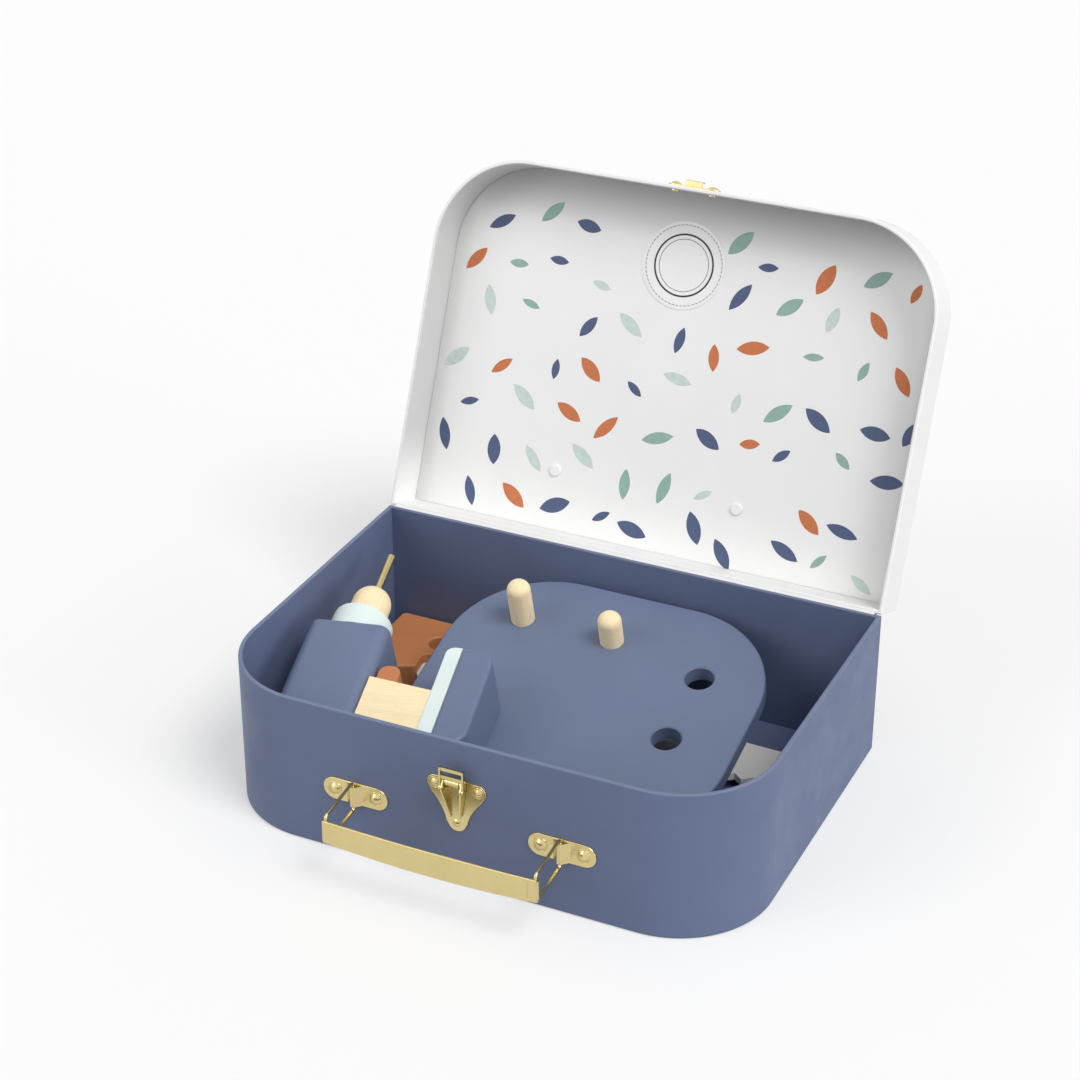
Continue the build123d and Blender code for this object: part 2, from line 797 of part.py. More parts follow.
for name, middle in zip(("bench_rail_rear", "bench_rail_front"), rail_middles):
    rail_front = middle - rail_thickness / 2
    rail_rear = middle + rail_thickness / 2
    with BuildPart() as bench_rail:
        with BuildSketch(Plane.YZ.offset(bench_plane.origin.X)):
            Polygon(
                (rail_front, floor_z + rest_gap),
                (rail_rear, floor_z + rest_gap),
                (rail_rear, underside_z(rail_rear)),
                (rail_front, underside_z(rail_front)),
                align=None,
            )
        extrude(amount=rail_length / 2, both=True)
        fillet(bench_rail.edges().filter_by(Axis.Z), rail_round)
        extrude(bench_dowel_rods(), amount=-bench_dowel_length, mode=Mode.SUBTRACT)
    bench_rail.part.label = name
    export_step(bench_rail.part, f"parts/{name}.step")

with BuildPart() as bench_dowels:
    extrude(bench_dowel_rods(), amount=-bench_dowel_length)
bench_dowels.part.label = "bench_dowels"
export_step(bench_dowels.part, "parts/bench_dowels.step")


# Pegs: the same dowel driven through the board to two depths
def make_peg(place, height):
    """Domed peg in a board hole, its top at a height above the board."""
    with BuildPart() as peg:
        with BuildSketch(bench_plane.offset(height - peg_length)):
            with Locations(place):
                Circle(peg_diameter / 2)
        extrude(amount=peg_length)
        fillet(peg.edges().group_by(bench_up)[-1], peg_dome_round)
        chamfer(peg.edges().group_by(bench_up)[0], peg_foot_chamfer)
    return peg


peg_tall = make_peg(peg_tall_place, peg_tall_height)
peg_tall.part.label = "peg_tall"
export_step(peg_tall.part, "parts/peg_tall.step")

peg_short = make_peg(peg_short_place, peg_short_height)
peg_short.part.label = "peg_short"
export_step(peg_short.part, "parts/peg_short.step")


# Places along and across the drill, from the barrel's front end and its middle line
grip_start = barrel_width / 2
grip_end = grip_start + grip_length
battery_start = grip_end + band_thickness
grip_face = -grip_from_front
grip_foot = grip_face - grip_rake
grip_middle = grip_foot - grip_width / 2
grip_dowel_place = (grip_face - grip_width + grip_dowel_from_back, 0)
battery_middle = -battery_from_front - battery_width / 2
battery_dowel_places = [(grip_middle + side * battery_dowel_pitch / 2, 0) for side in (-1, 1)]
band_middle = grip_end + band_thickness / 2
spindle_pin_place = (
    spindle_radius - groove_depth + spindle_pin_gap + spindle_pin_radius,
    -groove_from_front,
)
trigger_middle = grip_start + trigger_from_barrel + trigger_width / 2
trigger_low = (drill_thickness - trigger_thickness) / 2
trigger_pin_place = (trigger_middle, grip_face - trigger_pin_from_face)


def grip_dowel():
    """Outline of the dowel between barrel and grip, at its end in the barrel."""
    with BuildSketch(side_plane.offset(grip_start - grip_dowel_length / 2)) as rod:
        with Locations(grip_dowel_place):
            Circle(drill_dowel_diameter / 2)
    return rod.sketch


def battery_dowels():
    """Outline of the dowels through the band, at their ends in the grip."""
    with BuildSketch(side_plane.offset(band_middle - battery_dowel_length / 2)) as rods:
        with Locations(*battery_dowel_places):
            Circle(drill_dowel_diameter / 2)
    return rods.sketch


def spindle_pin_outline():
    """Outline of the pin that keeps the spindle in, on the drill's underside."""
    with BuildSketch(drill_plane) as pin:
        with Locations(spindle_pin_place):
            Circle(spindle_pin_radius)
    return pin.sketch


# Drill barrel with the spindle's bore
with BuildPart() as drill_barrel:
    with BuildSketch(drill_plane):
        with Locations((0, -barrel_length / 2)):
            Rectangle(barrel_width, barrel_length)
    extrude(amount=drill_thickness)
    fillet(drill_barrel.edges().filter_by(drill_along), barrel_round)
    fillet(drill_barrel.faces().sort_by(drill_along)[0].edges(), barrel_end_round)
    fillet(drill_barrel.faces().sort_by(drill_along)[-1].edges(), barrel_end_round)
    with BuildSketch(nose_plane):
        Circle(spindle_radius + spindle_clearance)
    extrude(amount=-spindle_in_barrel - spindle_end_gap, mode=Mode.SUBTRACT)
    extrude(spindle_pin_outline(), amount=spindle_pin_length, mode=Mode.SUBTRACT)
    extrude(grip_dowel(), amount=grip_dowel_length, mode=Mode.SUBTRACT)
drill_barrel.part.label = "drill_barrel"
export_step(drill_barrel.part, "parts/drill_barrel.step")

with BuildPart() as drill_collar:
    with BuildSketch(nose_plane):
        Circle(collar_radius)
    extrude(amount=collar_length)
    fillet(drill_collar.edges().group_by(drill_along)[-1], collar_round)
    with BuildSketch(nose_plane):
        Circle(spindle_radius + spindle_clearance)
    extrude(amount=collar_length, mode=Mode.SUBTRACT)
drill_collar.part.label = "drill_collar"
export_step(drill_collar.part, "parts/drill_collar.step")


# Chuck, bit and spindle turn together
chuck_base = nose_plane.offset(collar_length + chuck_gap)
bit_base = chuck_base.offset(chuck_length - bit_in_chuck)

with BuildPart() as drill_chuck:
    with BuildSketch(chuck_base):
        Circle(chuck_radius)
    extrude(amount=chuck_length)
    fillet(drill_chuck.edges().group_by(drill_along)[-1], chuck_radius - chuck_tip_flat)
    with BuildSketch(chuck_base):
        Circle(spindle_radius)
    extrude(amount=spindle_in_chuck, mode=Mode.SUBTRACT)
    with BuildSketch(bit_base):
        Circle(bit_radius)
    extrude(amount=bit_in_chuck, mode=Mode.SUBTRACT)
drill_chuck.part.label = "drill_chuck"
export_step(drill_chuck.part, "parts/drill_chuck.step")

with BuildPart() as drill_bit:
    with BuildSketch(bit_base):
        Circle(bit_radius)
    extrude(amount=bit_length)
    chamfer(drill_bit.edges().group_by(drill_along)[-1], bit_chamfer)
drill_bit.part.label = "drill_bit"
export_step(drill_bit.part, "parts/drill_bit.step")

with BuildPart() as chuck_spindle:
    with BuildSketch(nose_plane.offset(-spindle_in_barrel)):
        Circle(spindle_radius)
    extrude(amount=spindle_in_barrel + collar_length + chuck_gap + spindle_in_chuck)
    with BuildSketch(nose_plane.offset(-groove_from_front)):
        Circle(spindle_radius)
        Circle(spindle_radius - groove_depth, mode=Mode.SUBTRACT)
    extrude(amount=groove_width / 2, both=True, mode=Mode.SUBTRACT)
chuck_spindle.part.label = "chuck_spindle"
export_step(chuck_spindle.part, "parts/chuck_spindle.step")

with BuildPart() as spindle_pin:
    extrude(spindle_pin_outline(), amount=spindle_pin_length)
spindle_pin.part.label = "spindle_pin"
export_step(spindle_pin.part, "parts/spindle_pin.step")


# Drill grip, raked back to its foot, with the trigger's pocket
grip_level = drill_plane.offset(grip_inset)
pocket_low = trigger_low - trigger_clearance

with BuildPart() as drill_grip:
    with BuildSketch(grip_level):
        Polygon(
            (grip_start, grip_face),
            (grip_start, grip_face - grip_width),
            (grip_end, grip_foot - grip_width),
            (grip_end, grip_foot),
            align=None,
        )
    extrude(amount=drill_thickness - 2 * grip_inset)
    grip_rims = drill_grip.edges().group_by(drill_up)
    fillet((grip_rims[0] + grip_rims[-1]).filter_by(drill_along, reverse=True), grip_round)
    with BuildSketch(drill_plane.offset(pocket_low)):
        with Locations((trigger_middle, grip_face - pocket_depth / 2)):
            Rectangle(trigger_width + 2 * trigger_clearance, pocket_depth)
    extrude(amount=trigger_thickness + 2 * trigger_clearance, mode=Mode.SUBTRACT)
    with BuildSketch(grip_level):
        with Locations(trigger_pin_place):
            Circle(trigger_pin_radius)
    extrude(amount=pocket_low - grip_inset, mode=Mode.SUBTRACT)
    extrude(grip_dowel(), amount=grip_dowel_length, mode=Mode.SUBTRACT)
    extrude(battery_dowels(), amount=battery_dowel_length, mode=Mode.SUBTRACT)
drill_grip.part.label = "drill_grip"
export_step(drill_grip.part, "parts/drill_grip.step")

with BuildPart() as grip_band:
    with BuildSketch(drill_plane.offset(band_inset)) as band_plan:
        with Locations((band_middle, battery_middle)):
            Rectangle(band_thickness, battery_width)
        fillet(band_plan.vertices().group_by(Axis.X)[0], band_corner_round)
    extrude(amount=drill_thickness - 2 * band_inset)
    band_rims = grip_band.edges().group_by(drill_up)
    fillet(band_rims[0] + band_rims[-1], band_edge_round)
    extrude(battery_dowels(), amount=battery_dowel_length, mode=Mode.SUBTRACT)
grip_band.part.label = "grip_band"
export_step(grip_band.part, "parts/grip_band.step")

with BuildPart() as battery_base:
    with BuildSketch(drill_plane) as battery_plan:
        with Locations((battery_start + battery_length / 2, battery_middle)):
            Rectangle(battery_length, battery_width)
        fillet(battery_plan.vertices().group_by(Axis.X)[-1], battery_corner_round)
    extrude(amount=drill_thickness)
    battery_rims = battery_base.edges().group_by(drill_up)
    fillet(battery_rims[0] + battery_rims[-1], battery_edge_round)
    extrude(battery_dowels(), amount=battery_dowel_length, mode=Mode.SUBTRACT)
battery_base.part.label = "battery_base"
export_step(battery_base.part, "parts/battery_base.step")

with BuildPart() as drill_dowels:
    extrude(grip_dowel(), amount=grip_dowel_length)
    extrude(battery_dowels(), amount=battery_dowel_length)
drill_dowels.part.label = "drill_dowels"
export_step(drill_dowels.part, "parts/drill_dowels.step")


# Trigger, slotted from below for the pin that keeps it in
with BuildPart() as drill_trigger:
    with BuildSketch(drill_plane.offset(trigger_low)) as trigger_plan:
        with Locations((trigger_middle, grip_face + (trigger_proud - trigger_in_grip) / 2)):
            Rectangle(trigger_width, trigger_proud + trigger_in_grip)
        fillet(trigger_plan.vertices().group_by(Axis.Y)[-1], trigger_nose_round)
    extrude(amount=trigger_thickness)
    trigger_rims = drill_trigger.edges().group_by(drill_up)
    fillet(trigger_rims[0] + trigger_rims[-1], trigger_edge_round)
    with BuildSketch(drill_plane.offset(trigger_low)):
        with Locations((trigger_pin_place[0], trigger_pin_place[1] + trigger_travel / 2)):
            slot_radius = trigger_pin_radius + trigger_pin_gap
            Rectangle(2 * slot_radius, trigger_travel + 2 * slot_radius)
    extrude(amount=trigger_pin_length + grip_inset + trigger_pin_gap - trigger_low, mode=Mode.SUBTRACT)
drill_trigger.part.label = "drill_trigger"
export_step(drill_trigger.part, "parts/drill_trigger.step")

with BuildPart() as trigger_pin:
    with BuildSketch(grip_level):
        with Locations(trigger_pin_place):
            Circle(trigger_pin_radius)
    extrude(amount=trigger_pin_length)
trigger_pin.part.label = "trigger_pin"
export_step(trigger_pin.part, "parts/trigger_pin.step")

spring_length = pocket_depth - trigger_in_grip - 2 * (spring_wire_radius + spring_end_gap)
spring_start = drill_plane.from_local_coords(
    (trigger_middle, grip_face - pocket_depth + spring_wire_radius + spring_end_gap, drill_thickness / 2)
)
spring_route = Helix(
    spring_length / spring_turns,
    spring_length,
    spring_radius,
    spring_start,
    drill_plane.y_dir,
)

with BuildPart() as trigger_spring:
    with BuildSketch(Plane(origin=spring_route @ 0, z_dir=spring_route % 0)):
        Circle(spring_wire_radius)
    sweep(path=spring_route, is_frenet=True)
trigger_spring.part.label = "trigger_spring"
export_step(trigger_spring.part, "parts/trigger_spring.step")


# Saw: plan of the blade, used for the blade and for the handle's slot
blade_low = (saw_handle_thickness - blade_thickness) / 2
blade_plane = saw_plane.offset(blade_low)


def blade_plan():
    """Plan of the saw blade, with its teeth along the front edge."""
    valley = -blade_edge_depth + tooth_depth
    teeth = []
    for tooth in range(tooth_count):
        teeth.append((tooth_start + tooth * tooth_pitch, valley))
        teeth.append((tooth_start + (tooth + 0.5) * tooth_pitch, -blade_edge_depth))
    with BuildSketch(blade_plane) as plan:
        Polygon(
            (blade_start, -blade_back_depth),
            (blade_start + blade_root_step, -blade_root_depth),
            (saw_horn_right, -blade_root_depth),
            *teeth,
            (blade_end - blade_end_slope, valley),
            (blade_end, -blade_tip_depth),
            align=None,
        )
    return plan.sketch


def saw_dowel_rods():
    """Outline of the saw's dowels, on the handle's underside."""
    with BuildSketch(saw_plane) as rods:
        with Locations(*saw_dowel_places):
            Circle(saw_dowel_radius)
    return rods.sketch


with BuildPart() as saw_handle:
    with BuildSketch(saw_plane) as handle_plan:
        Polygon(
            (0, 0),
            (0, -saw_rear_depth),
            (saw_rear_slope, -saw_bow_depth),
            (saw_horn_left, -saw_horn_depth),
            (saw_horn_tip, -saw_horn_depth + saw_horn_tip_rise),
            (saw_horn_right, -saw_bow_depth),
            (saw_handle_length, -saw_bow_depth),
            (saw_handle_length, 0),
            align=None,
        )
        fillet(handle_plan.vertices(), saw_corner_round)
        with Locations((hand_hole_from_left + hand_hole_length / 2, -hand_hole_from_rear)):
            SlotOverall(hand_hole_length, hand_hole_width, mode=Mode.SUBTRACT)
    extrude(amount=saw_handle_thickness)
    saw_rims = saw_handle.edges().group_by(Axis.Z)
    fillet(saw_rims[0] + saw_rims[-1], saw_edge_round)
    extrude(blade_plan(), amount=blade_thickness, mode=Mode.SUBTRACT)
    extrude(saw_dowel_rods(), amount=saw_dowel_length, mode=Mode.SUBTRACT)
saw_handle.part.label = "saw_handle"
export_step(saw_handle.part, "parts/saw_handle.step")

with BuildPart() as saw_blade:
    extrude(blade_plan(), amount=blade_thickness)
    extrude(saw_dowel_rods(), amount=saw_dowel_length, mode=Mode.SUBTRACT)
saw_blade.part.label = "saw_blade"
export_step(saw_blade.part, "parts/saw_blade.step")

with BuildPart() as saw_dowels:
    extrude(saw_dowel_rods(), amount=saw_dowel_length)
saw_dowels.part.label = "saw_dowels"
export_step(saw_dowels.part, "parts/saw_dowels.step")
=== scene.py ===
"""Looks of a child's card tool case: card, cloth hinge, lid print, brass fittings, and wooden toys."""

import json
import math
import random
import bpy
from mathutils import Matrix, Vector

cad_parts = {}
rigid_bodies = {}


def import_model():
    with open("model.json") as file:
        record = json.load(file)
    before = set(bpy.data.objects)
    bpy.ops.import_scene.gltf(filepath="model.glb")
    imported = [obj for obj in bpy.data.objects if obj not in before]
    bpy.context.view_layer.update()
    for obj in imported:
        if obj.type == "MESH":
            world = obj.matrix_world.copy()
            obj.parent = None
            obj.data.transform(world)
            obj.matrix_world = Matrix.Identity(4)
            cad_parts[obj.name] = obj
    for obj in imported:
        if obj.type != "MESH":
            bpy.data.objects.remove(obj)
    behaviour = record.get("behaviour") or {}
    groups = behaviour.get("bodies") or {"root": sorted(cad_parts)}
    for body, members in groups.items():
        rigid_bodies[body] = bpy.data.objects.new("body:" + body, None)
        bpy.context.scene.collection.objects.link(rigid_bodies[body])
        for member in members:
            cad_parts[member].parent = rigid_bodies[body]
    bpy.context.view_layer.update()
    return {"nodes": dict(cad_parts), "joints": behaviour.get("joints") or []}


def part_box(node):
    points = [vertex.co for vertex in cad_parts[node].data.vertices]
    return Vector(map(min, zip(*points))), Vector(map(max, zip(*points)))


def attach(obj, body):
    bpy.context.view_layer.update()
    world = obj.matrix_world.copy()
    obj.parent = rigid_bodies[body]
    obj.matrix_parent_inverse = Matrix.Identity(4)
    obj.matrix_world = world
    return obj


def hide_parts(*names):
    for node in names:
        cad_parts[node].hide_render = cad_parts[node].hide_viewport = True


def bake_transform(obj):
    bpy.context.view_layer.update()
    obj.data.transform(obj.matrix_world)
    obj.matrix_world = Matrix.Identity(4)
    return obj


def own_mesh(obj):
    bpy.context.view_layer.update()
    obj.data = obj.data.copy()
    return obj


bl_info = {
    "name": "Toy Tool Case",
    "version": (1, 0, 0),
    "blender": (4, 5, 0),
    "location": "View3D > Sidebar > Tool Case",
    "description": "Dresses a packed toy tool case with card, brass, wood and its stage",
    "category": "Object",
}

import bmesh
import bpy
from bpy.props import FloatProperty, FloatVectorProperty, IntProperty, PointerProperty
from mathutils import Matrix, Vector

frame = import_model()
NODES = frame["nodes"]
JOINTS = {joint["name"]: joint for joint in frame["joints"]}
MM = 0.001

# The lid shuts at its joint's lower limit, so at rest it stands at this angle from level.
# Its own frame has X along the hinge, Y up the lining and Z towards whoever looks into it.
LID_ANGLE = math.radians(180.0 + JOINTS["lid_hinge"]["range_deg"][0])
HINGE = Vector(JOINTS["lid_hinge"]["pos_m"])
LID_FRAME = Matrix.Translation(HINGE) @ Matrix.Rotation(LID_ANGLE, 4, "X")
LID_PLACE = (tuple(HINGE), (LID_ANGLE, 0, 0))
BENCH_UP = Vector(JOINTS["peg_tall_slide"]["axis"])
DRILL_AXIS = Vector(JOINTS["chuck_spin"]["axis"])

# Paper, ink and thread in the lid
LINING_WHITE = (0.85, 0.85, 0.843)
LABEL_WHITE = (0.87, 0.87, 0.865)
CAP_WHITE = (0.84, 0.84, 0.84)
LABEL_BLACK = (0.012, 0.012, 0.013)
THREAD_GREY = (0.34, 0.34, 0.35)
WORN_AND_HIGHLIT_PAPER = (0.8, 0.8, 0.8)
PAPER_UNDER_INK = (0.86, 0.86, 0.85)
WOOD_UNDER_PAINT = (0.85, 0.8, 0.7)
INK_THICKNESS = 0.05 * MM
# A wave texture of scale 1 repeats after this length in metres
WAVE_LENGTH = 0.314

# Height of the lid's rim in its own frame, and a rim and its width for paper without one,
# further down than any piece reaches
LID_RIM = -0.4 * MM
NO_RIM = (-1.0, 1.0 * MM)

# Lining: its round far corners, and the caps in it with the space round them
LINING_CORNER = 47.5 * MM
CAP_RADIUS = 3.5 * MM
CAP_SPACE = 4.5 * MM

# Leaves: how many of 100 each ink gets, their lengths as shares of the longest, their least
# and greatest width as a share of the length, and how far one may stray from its place in
# the grid, as a share of the leaf spacing
INK_SHARES = {"leaves_navy": 44, "leaves_terracotta": 16, "leaves_sage": 22, "leaves_mist": 18}
LEAF_LENGTHS = (1.0, 0.92, 0.8, 0.62)
LEAF_WIDTHS = (0.34, 0.46)
STRAY = 0.22

# Label: outer and inner radius of each printed ring, and the radius of the stitches, as
# shares of the label's radius
RINGS = ((0.72, 0.68), (0.6, 0.588))
STITCH_RADIUS = 0.915
STITCHES = 60
STITCH_SIZE = (0.42 * MM, 1.6 * MM, 0.2 * MM)

# Painted shade: the lid's inner wall, which faces LID_MIDDLE, is painted darker, and so is the lining
# towards its edges, from the first to the second distance from the hinge, or from the middle
LID_MIDDLE = LID_FRAME @ Vector((0, 0.1, -0.015))
INNER_WALL_PAINTED_SHADE = 0.7
LINING_PAINTED_SHADE = 0.6
FAR_SHADE_SPAN = (0.166, 0.194)
SIDE_SHADE_SPAN = (0.128, 0.1405)

# Brass: how far its plates stand off the card, and the tube radius of a ring round a rivet
PLATE_THICKNESS = 0.8 * MM
SEAT_WIRE = 0.24 * MM

# Raised panel: its upper and lower edge below the grip's top, its ends from the grip's ends,
# how far each edge bows down in the middle, and the width of its rounded rim
PANEL_TOP, PANEL_FOOT, PANEL_END = 1.7 * MM, 10.7 * MM, 5.2 * MM
TOP_BOW, FOOT_BOW = 1.0 * MM, 2.5 * MM
PANEL_ROUND = 0.22 * MM

# Floor: its half width, its colour, and the glow that makes it white to the camera
FLOOR_REACH = 12.0
FLOOR_COLOUR = (0.58, 0.58, 0.58, 1)
FLOOR_GLOW = 0.36

# Lamps: the direction to each, and how many degrees of the sky it takes up
KEY_LAMP = ((1.05, -0.46, 1.68), 28)
SIDE_LAMP = ((1.9, -0.2, 0.52), 30)
FILL_LAMP = ((-0.6, -0.65, 0.47), 40)

# Camera, found from the outlines of the case in the photograph
CAMERA_PLACE = (0.4689, -1.0041, 0.7489)
CAMERA_VIEW = (-0.37373, 0.79338, -0.48049)


def colour_property(name, description, default):
    """Colour setting, in linear values."""
    return FloatVectorProperty(
        name=name, description=description, default=default, subtype="COLOR", min=0, max=1
    )


def length_property(name, description, default):
    """Length setting, in metres."""
    return FloatProperty(name=name, description=description, default=default, unit="LENGTH", min=0)


def number_property(name, description, default, least=0.0):
    """Plain number setting."""
    return FloatProperty(name=name, description=description, default=default, min=least)


class ToolCaseCardSettings(bpy.types.PropertyGroup):
    blue: colour_property("Blue card", "Colour of the tray's paper cover", (0.118, 0.152, 0.262))
    white: colour_property("White card", "Colour of the lid's paper cover", (0.83, 0.83, 0.825))
    fibre: length_property("Paper fibre", "Size of the fibre pattern in the paper", 0.0009)
    # Width of the lighter rim band, which is partly rubbed wear and partly a painted highlight
    rim_wear_and_highlight: length_property("Worn rim", "Width of the rubbed band along the rims", 0.0016)
    thread: length_property("Cloth thread", "Pitch of the threads in the hinge cloth", 0.0006)


class ToolCasePrintSettings(bpy.types.PropertyGroup):
    navy: colour_property("Navy ink", "Colour of the navy leaves", (0.068, 0.096, 0.19))
    terracotta: colour_property("Terracotta ink", "Colour of the terracotta leaves", (0.56, 0.17, 0.06))
    sage: colour_property("Sage ink", "Colour of the sage leaves", (0.27, 0.42, 0.37))
    mist: colour_property("Mist ink", "Colour of the palest leaves", (0.56, 0.66, 0.62))
    seed: IntProperty(name="Layout", description="Number of the leaf layout", default=11, min=0)
    spacing: length_property("Leaf spacing", "Distance from leaf to leaf", 0.0262)
    leaf: length_property("Leaf length", "Length of the largest leaves", 0.0185)


class ToolCaseBrassSettings(bpy.types.PropertyGroup):
    colour: colour_property("Brass", "Colour of the fittings", (0.67, 0.555, 0.27))
    rivet: length_property("Rivet", "Widest radius of the brackets' rivets", 0.0031)
    seat: length_property("Rivet seat", "Radius of the ring round a bracket's rivet", 0.0037)
    small_rivet: length_property("Latch rivet", "Widest radius of the latch's rivets", 0.0026)
    small_seat: length_property("Latch rivet seat", "Radius of the ring round a latch rivet", 0.0029)
    emboss: length_property("Grip embossing", "Height of the raised panel on the grip", 0.0003)


class ToolCaseWoodSettings(bpy.types.PropertyGroup):
    beech: colour_property("Beech", "Colour of the bare wood", (0.97, 0.79, 0.5))
    blue: colour_property("Blue paint", "Colour of the bench and drill", (0.136, 0.173, 0.275))
    mint: colour_property("Mint paint", "Colour of the collar and band", (0.73, 0.83, 0.81))
    terracotta: colour_property("Terracotta paint", "Colour of the saw's handle", (0.62, 0.24, 0.09))
    trigger: colour_property("Trigger paint", "Colour of the drill's trigger", (0.5, 0.19, 0.075))
    white: colour_property("White paint", "Colour of the saw blade", (0.92, 0.89, 0.84))


class ToolCaseStageSettings(bpy.types.PropertyGroup):
    key: number_property("Key light", "Strength of the light from above", 1.65)
    side: number_property("Side light", "Strength of the light from the right", 0.75)
    fill: number_property("Fill light", "Strength of the light from the front left", 0.7)
    world: number_property("Surroundings", "Strength of the white surroundings", 0.46)
    lens: number_property("Lens", "Focal length of the camera in millimetres", 85.822, 1)


class Shader:
    """A material under construction: its nodes, its links and its main shader."""

    def __init__(self, name):
        self.material = bpy.data.materials.new(name)
        self.material.use_nodes = True
        self.tree = self.material.node_tree
        self.main = self.tree.nodes["Principled BSDF"]
        place = self.tree.nodes.new("ShaderNodeTexCoord")
        self.coords = place.outputs["Object"]
        self.normal = place.outputs["Normal"]

    @classmethod
    def of(cls, material):
        """Opens a finished material again, to add to it."""
        make = cls.__new__(cls)
        make.material = material
        make.tree = material.node_tree
        make.main = make.tree.nodes["Principled BSDF"]
        place = next(node for node in make.tree.nodes if node.type == "TEX_COORD")
        make.coords = place.outputs["Object"]
        return make

    def add(self, kind, settings=None, **inputs):
        """New node; an input is a number, a colour or another node's socket."""
        node = self.tree.nodes.new("ShaderNode" + kind)
        for key, value in (settings or {}).items():
            setattr(node, key, value)
        for key, value in inputs.items():
            self.put(node.inputs[key.replace("_", " ")], value)
        return node

    def put(self, socket, value):
        """Sets a socket to a value, or links it."""
        if isinstance(value, bpy.types.NodeSocket):
            self.tree.links.new(value, socket)
        else:
            socket.default_value = value

    def placed(self, centre=(0, 0, 0), turn=(0, 0, 0)):
        """Object coordinates in a piece's own frame."""
        node = self.add("Mapping", {"vector_type": "TEXTURE"}, Vector=self.coords)
        node.inputs["Location"].default_value = centre
        node.inputs["Rotation"].default_value = turn
        return node.outputs["Vector"]

    def stretched(self, vector, scale):
        """Coordinates scaled along each axis."""
        node = self.add("Mapping", Vector=vector)
        node.inputs["Scale"].default_value = scale
        return node.outputs["Vector"]

    def noise(self, vector, scale, detail=3.0, rough=0.55):
        """Noise value from 0 to 1."""
        node = self.add("TexNoise", Vector=vector, Scale=scale, Detail=detail, Roughness=rough)
        return node.outputs["Fac"]

    def ranged(self, value, low, high, to_low=0.0, to_high=1.0):
        """Value mapped from one range to another, and kept in it."""
        node = self.add("MapRange", {"interpolation_type": "SMOOTHSTEP"}, Value=value)
        node.inputs["From Min"].default_value = low
        node.inputs["From Max"].default_value = high
        node.inputs["To Min"].default_value = to_low
        node.inputs["To Max"].default_value = to_high
        return node.outputs["Result"]

    def maths(self, operation, first, second=0.0):
        """Result of a maths operation."""
        node = self.add("Math", {"operation": operation})
        self.put(node.inputs[0], first)
        self.put(node.inputs[1], second)
        return node.outputs["Value"]

    def mixed(self, share, first, second):
        """Colour between two colours."""
        node = self.add("Mix", {"data_type": "RGBA"})
        self.put(node.inputs["Factor"], share)
        self.put(node.inputs["A"], first)
        self.put(node.inputs["B"], second)
        return node.outputs["Result"]

    def axis(self, vector, name):
        """One coordinate of a vector."""
        return self.add("SeparateXYZ", Vector=vector).outputs[name]

    def relief(self, height, strength, distance):
        """Bump from a height, put on the main shader."""
        node = self.add("Bump", Height=height, Strength=strength, Distance=distance)
        self.put(self.main.inputs["Normal"], node.outputs["Normal"])

    def finish(self, colour, roughness, metallic=0.0, specular=0.5):
        """Sets the main shader and returns the material."""
        self.put(self.main.inputs["Base Color"], colour)
        self.put(self.main.inputs["Roughness"], roughness)
        self.main.inputs["Metallic"].default_value = metallic
        self.main.inputs["Specular IOR Level"].default_value = specular
        return self.material


def tone(colour, factor):
    """A colour made lighter or darker, with its alpha."""
    return (*(min(1.0, channel * factor) for channel in colour), 1.0)


def between(first, second, share):
    """A colour between two colours, with its alpha."""
    return (*(a + (b - a) * share for a, b in zip(first, second)), 1.0)


def card_material(name, colour, fibre, frame_place, rim, wear_and_highlight, inside=None):
    """Matte paper over card, lighter along its rim, partly as rubbed wear and partly as a painted
    highlight.

    The lighter band lies above the height rim of the piece's own frame, or below it where rim is
    negative, and fades over the width given after rim. With inside, which is a place and a shade, the
    faces that look towards the place are painted darker, as painted shade.
    """
    make = Shader(name)
    local = make.placed(*frame_place)
    cloud = make.noise(local, 18.0, 3.0)
    grain = make.noise(local, 1.0 / fibre, 5.0, 0.65)
    speck = make.ranged(make.noise(local, 0.45 / fibre, 2.0), 0.66, 0.74)
    mottle = 0.035 if max(colour) < 0.5 else 0.01
    light, dark = tone(colour, 1 + mottle), tone(colour, 1 - mottle)
    base = make.mixed(make.ranged(cloud, 0.3, 0.7), dark, light)
    base = make.mixed(make.maths("MULTIPLY", speck, 0.06), base, between(colour, WORN_AND_HIGHLIT_PAPER, 0.25))
    # Rim band: partly rubbed wear and partly a painted highlight, lighter towards the rim
    height = make.axis(local, "Z")
    edge = make.ranged(height, rim - wear_and_highlight * math.copysign(1.0, rim), rim)
    rubbed = make.maths("MULTIPLY", edge, make.ranged(make.noise(local, 45.0, 3.0), 0.2, 0.8, 0.7, 1.0))
    base = make.mixed(make.maths("MULTIPLY", rubbed, 0.16), base, between(colour, WORN_AND_HIGHLIT_PAPER, 0.4))
    # Painted shade on the faces that look towards the lid's middle, fading in from the hinge
    if inside:
        centre, shade = inside
        inward = make.add("VectorMath", {"operation": "SUBTRACT"})
        inward.inputs[0].default_value = centre
        make.put(inward.inputs[1], make.coords)
        facing = make.add("VectorMath", {"operation": "DOT_PRODUCT"})
        make.put(facing.inputs[0], inward.outputs["Vector"])
        make.put(facing.inputs[1], make.normal)
        share = make.ranged(facing.outputs["Value"], 0.0, 0.02)
        away = make.ranged(make.axis(local, "Y"), 0.004, 0.05)
        base = make.mixed(make.maths("MULTIPLY", share, away), base, tone(colour, shade))
    make.relief(grain, 0.18, 0.00012)
    rough = make.ranged(make.noise(local, 60.0, 3.0), 0.3, 0.7, 0.5, 0.62)
    return make.finish(base, rough, specular=0.4)


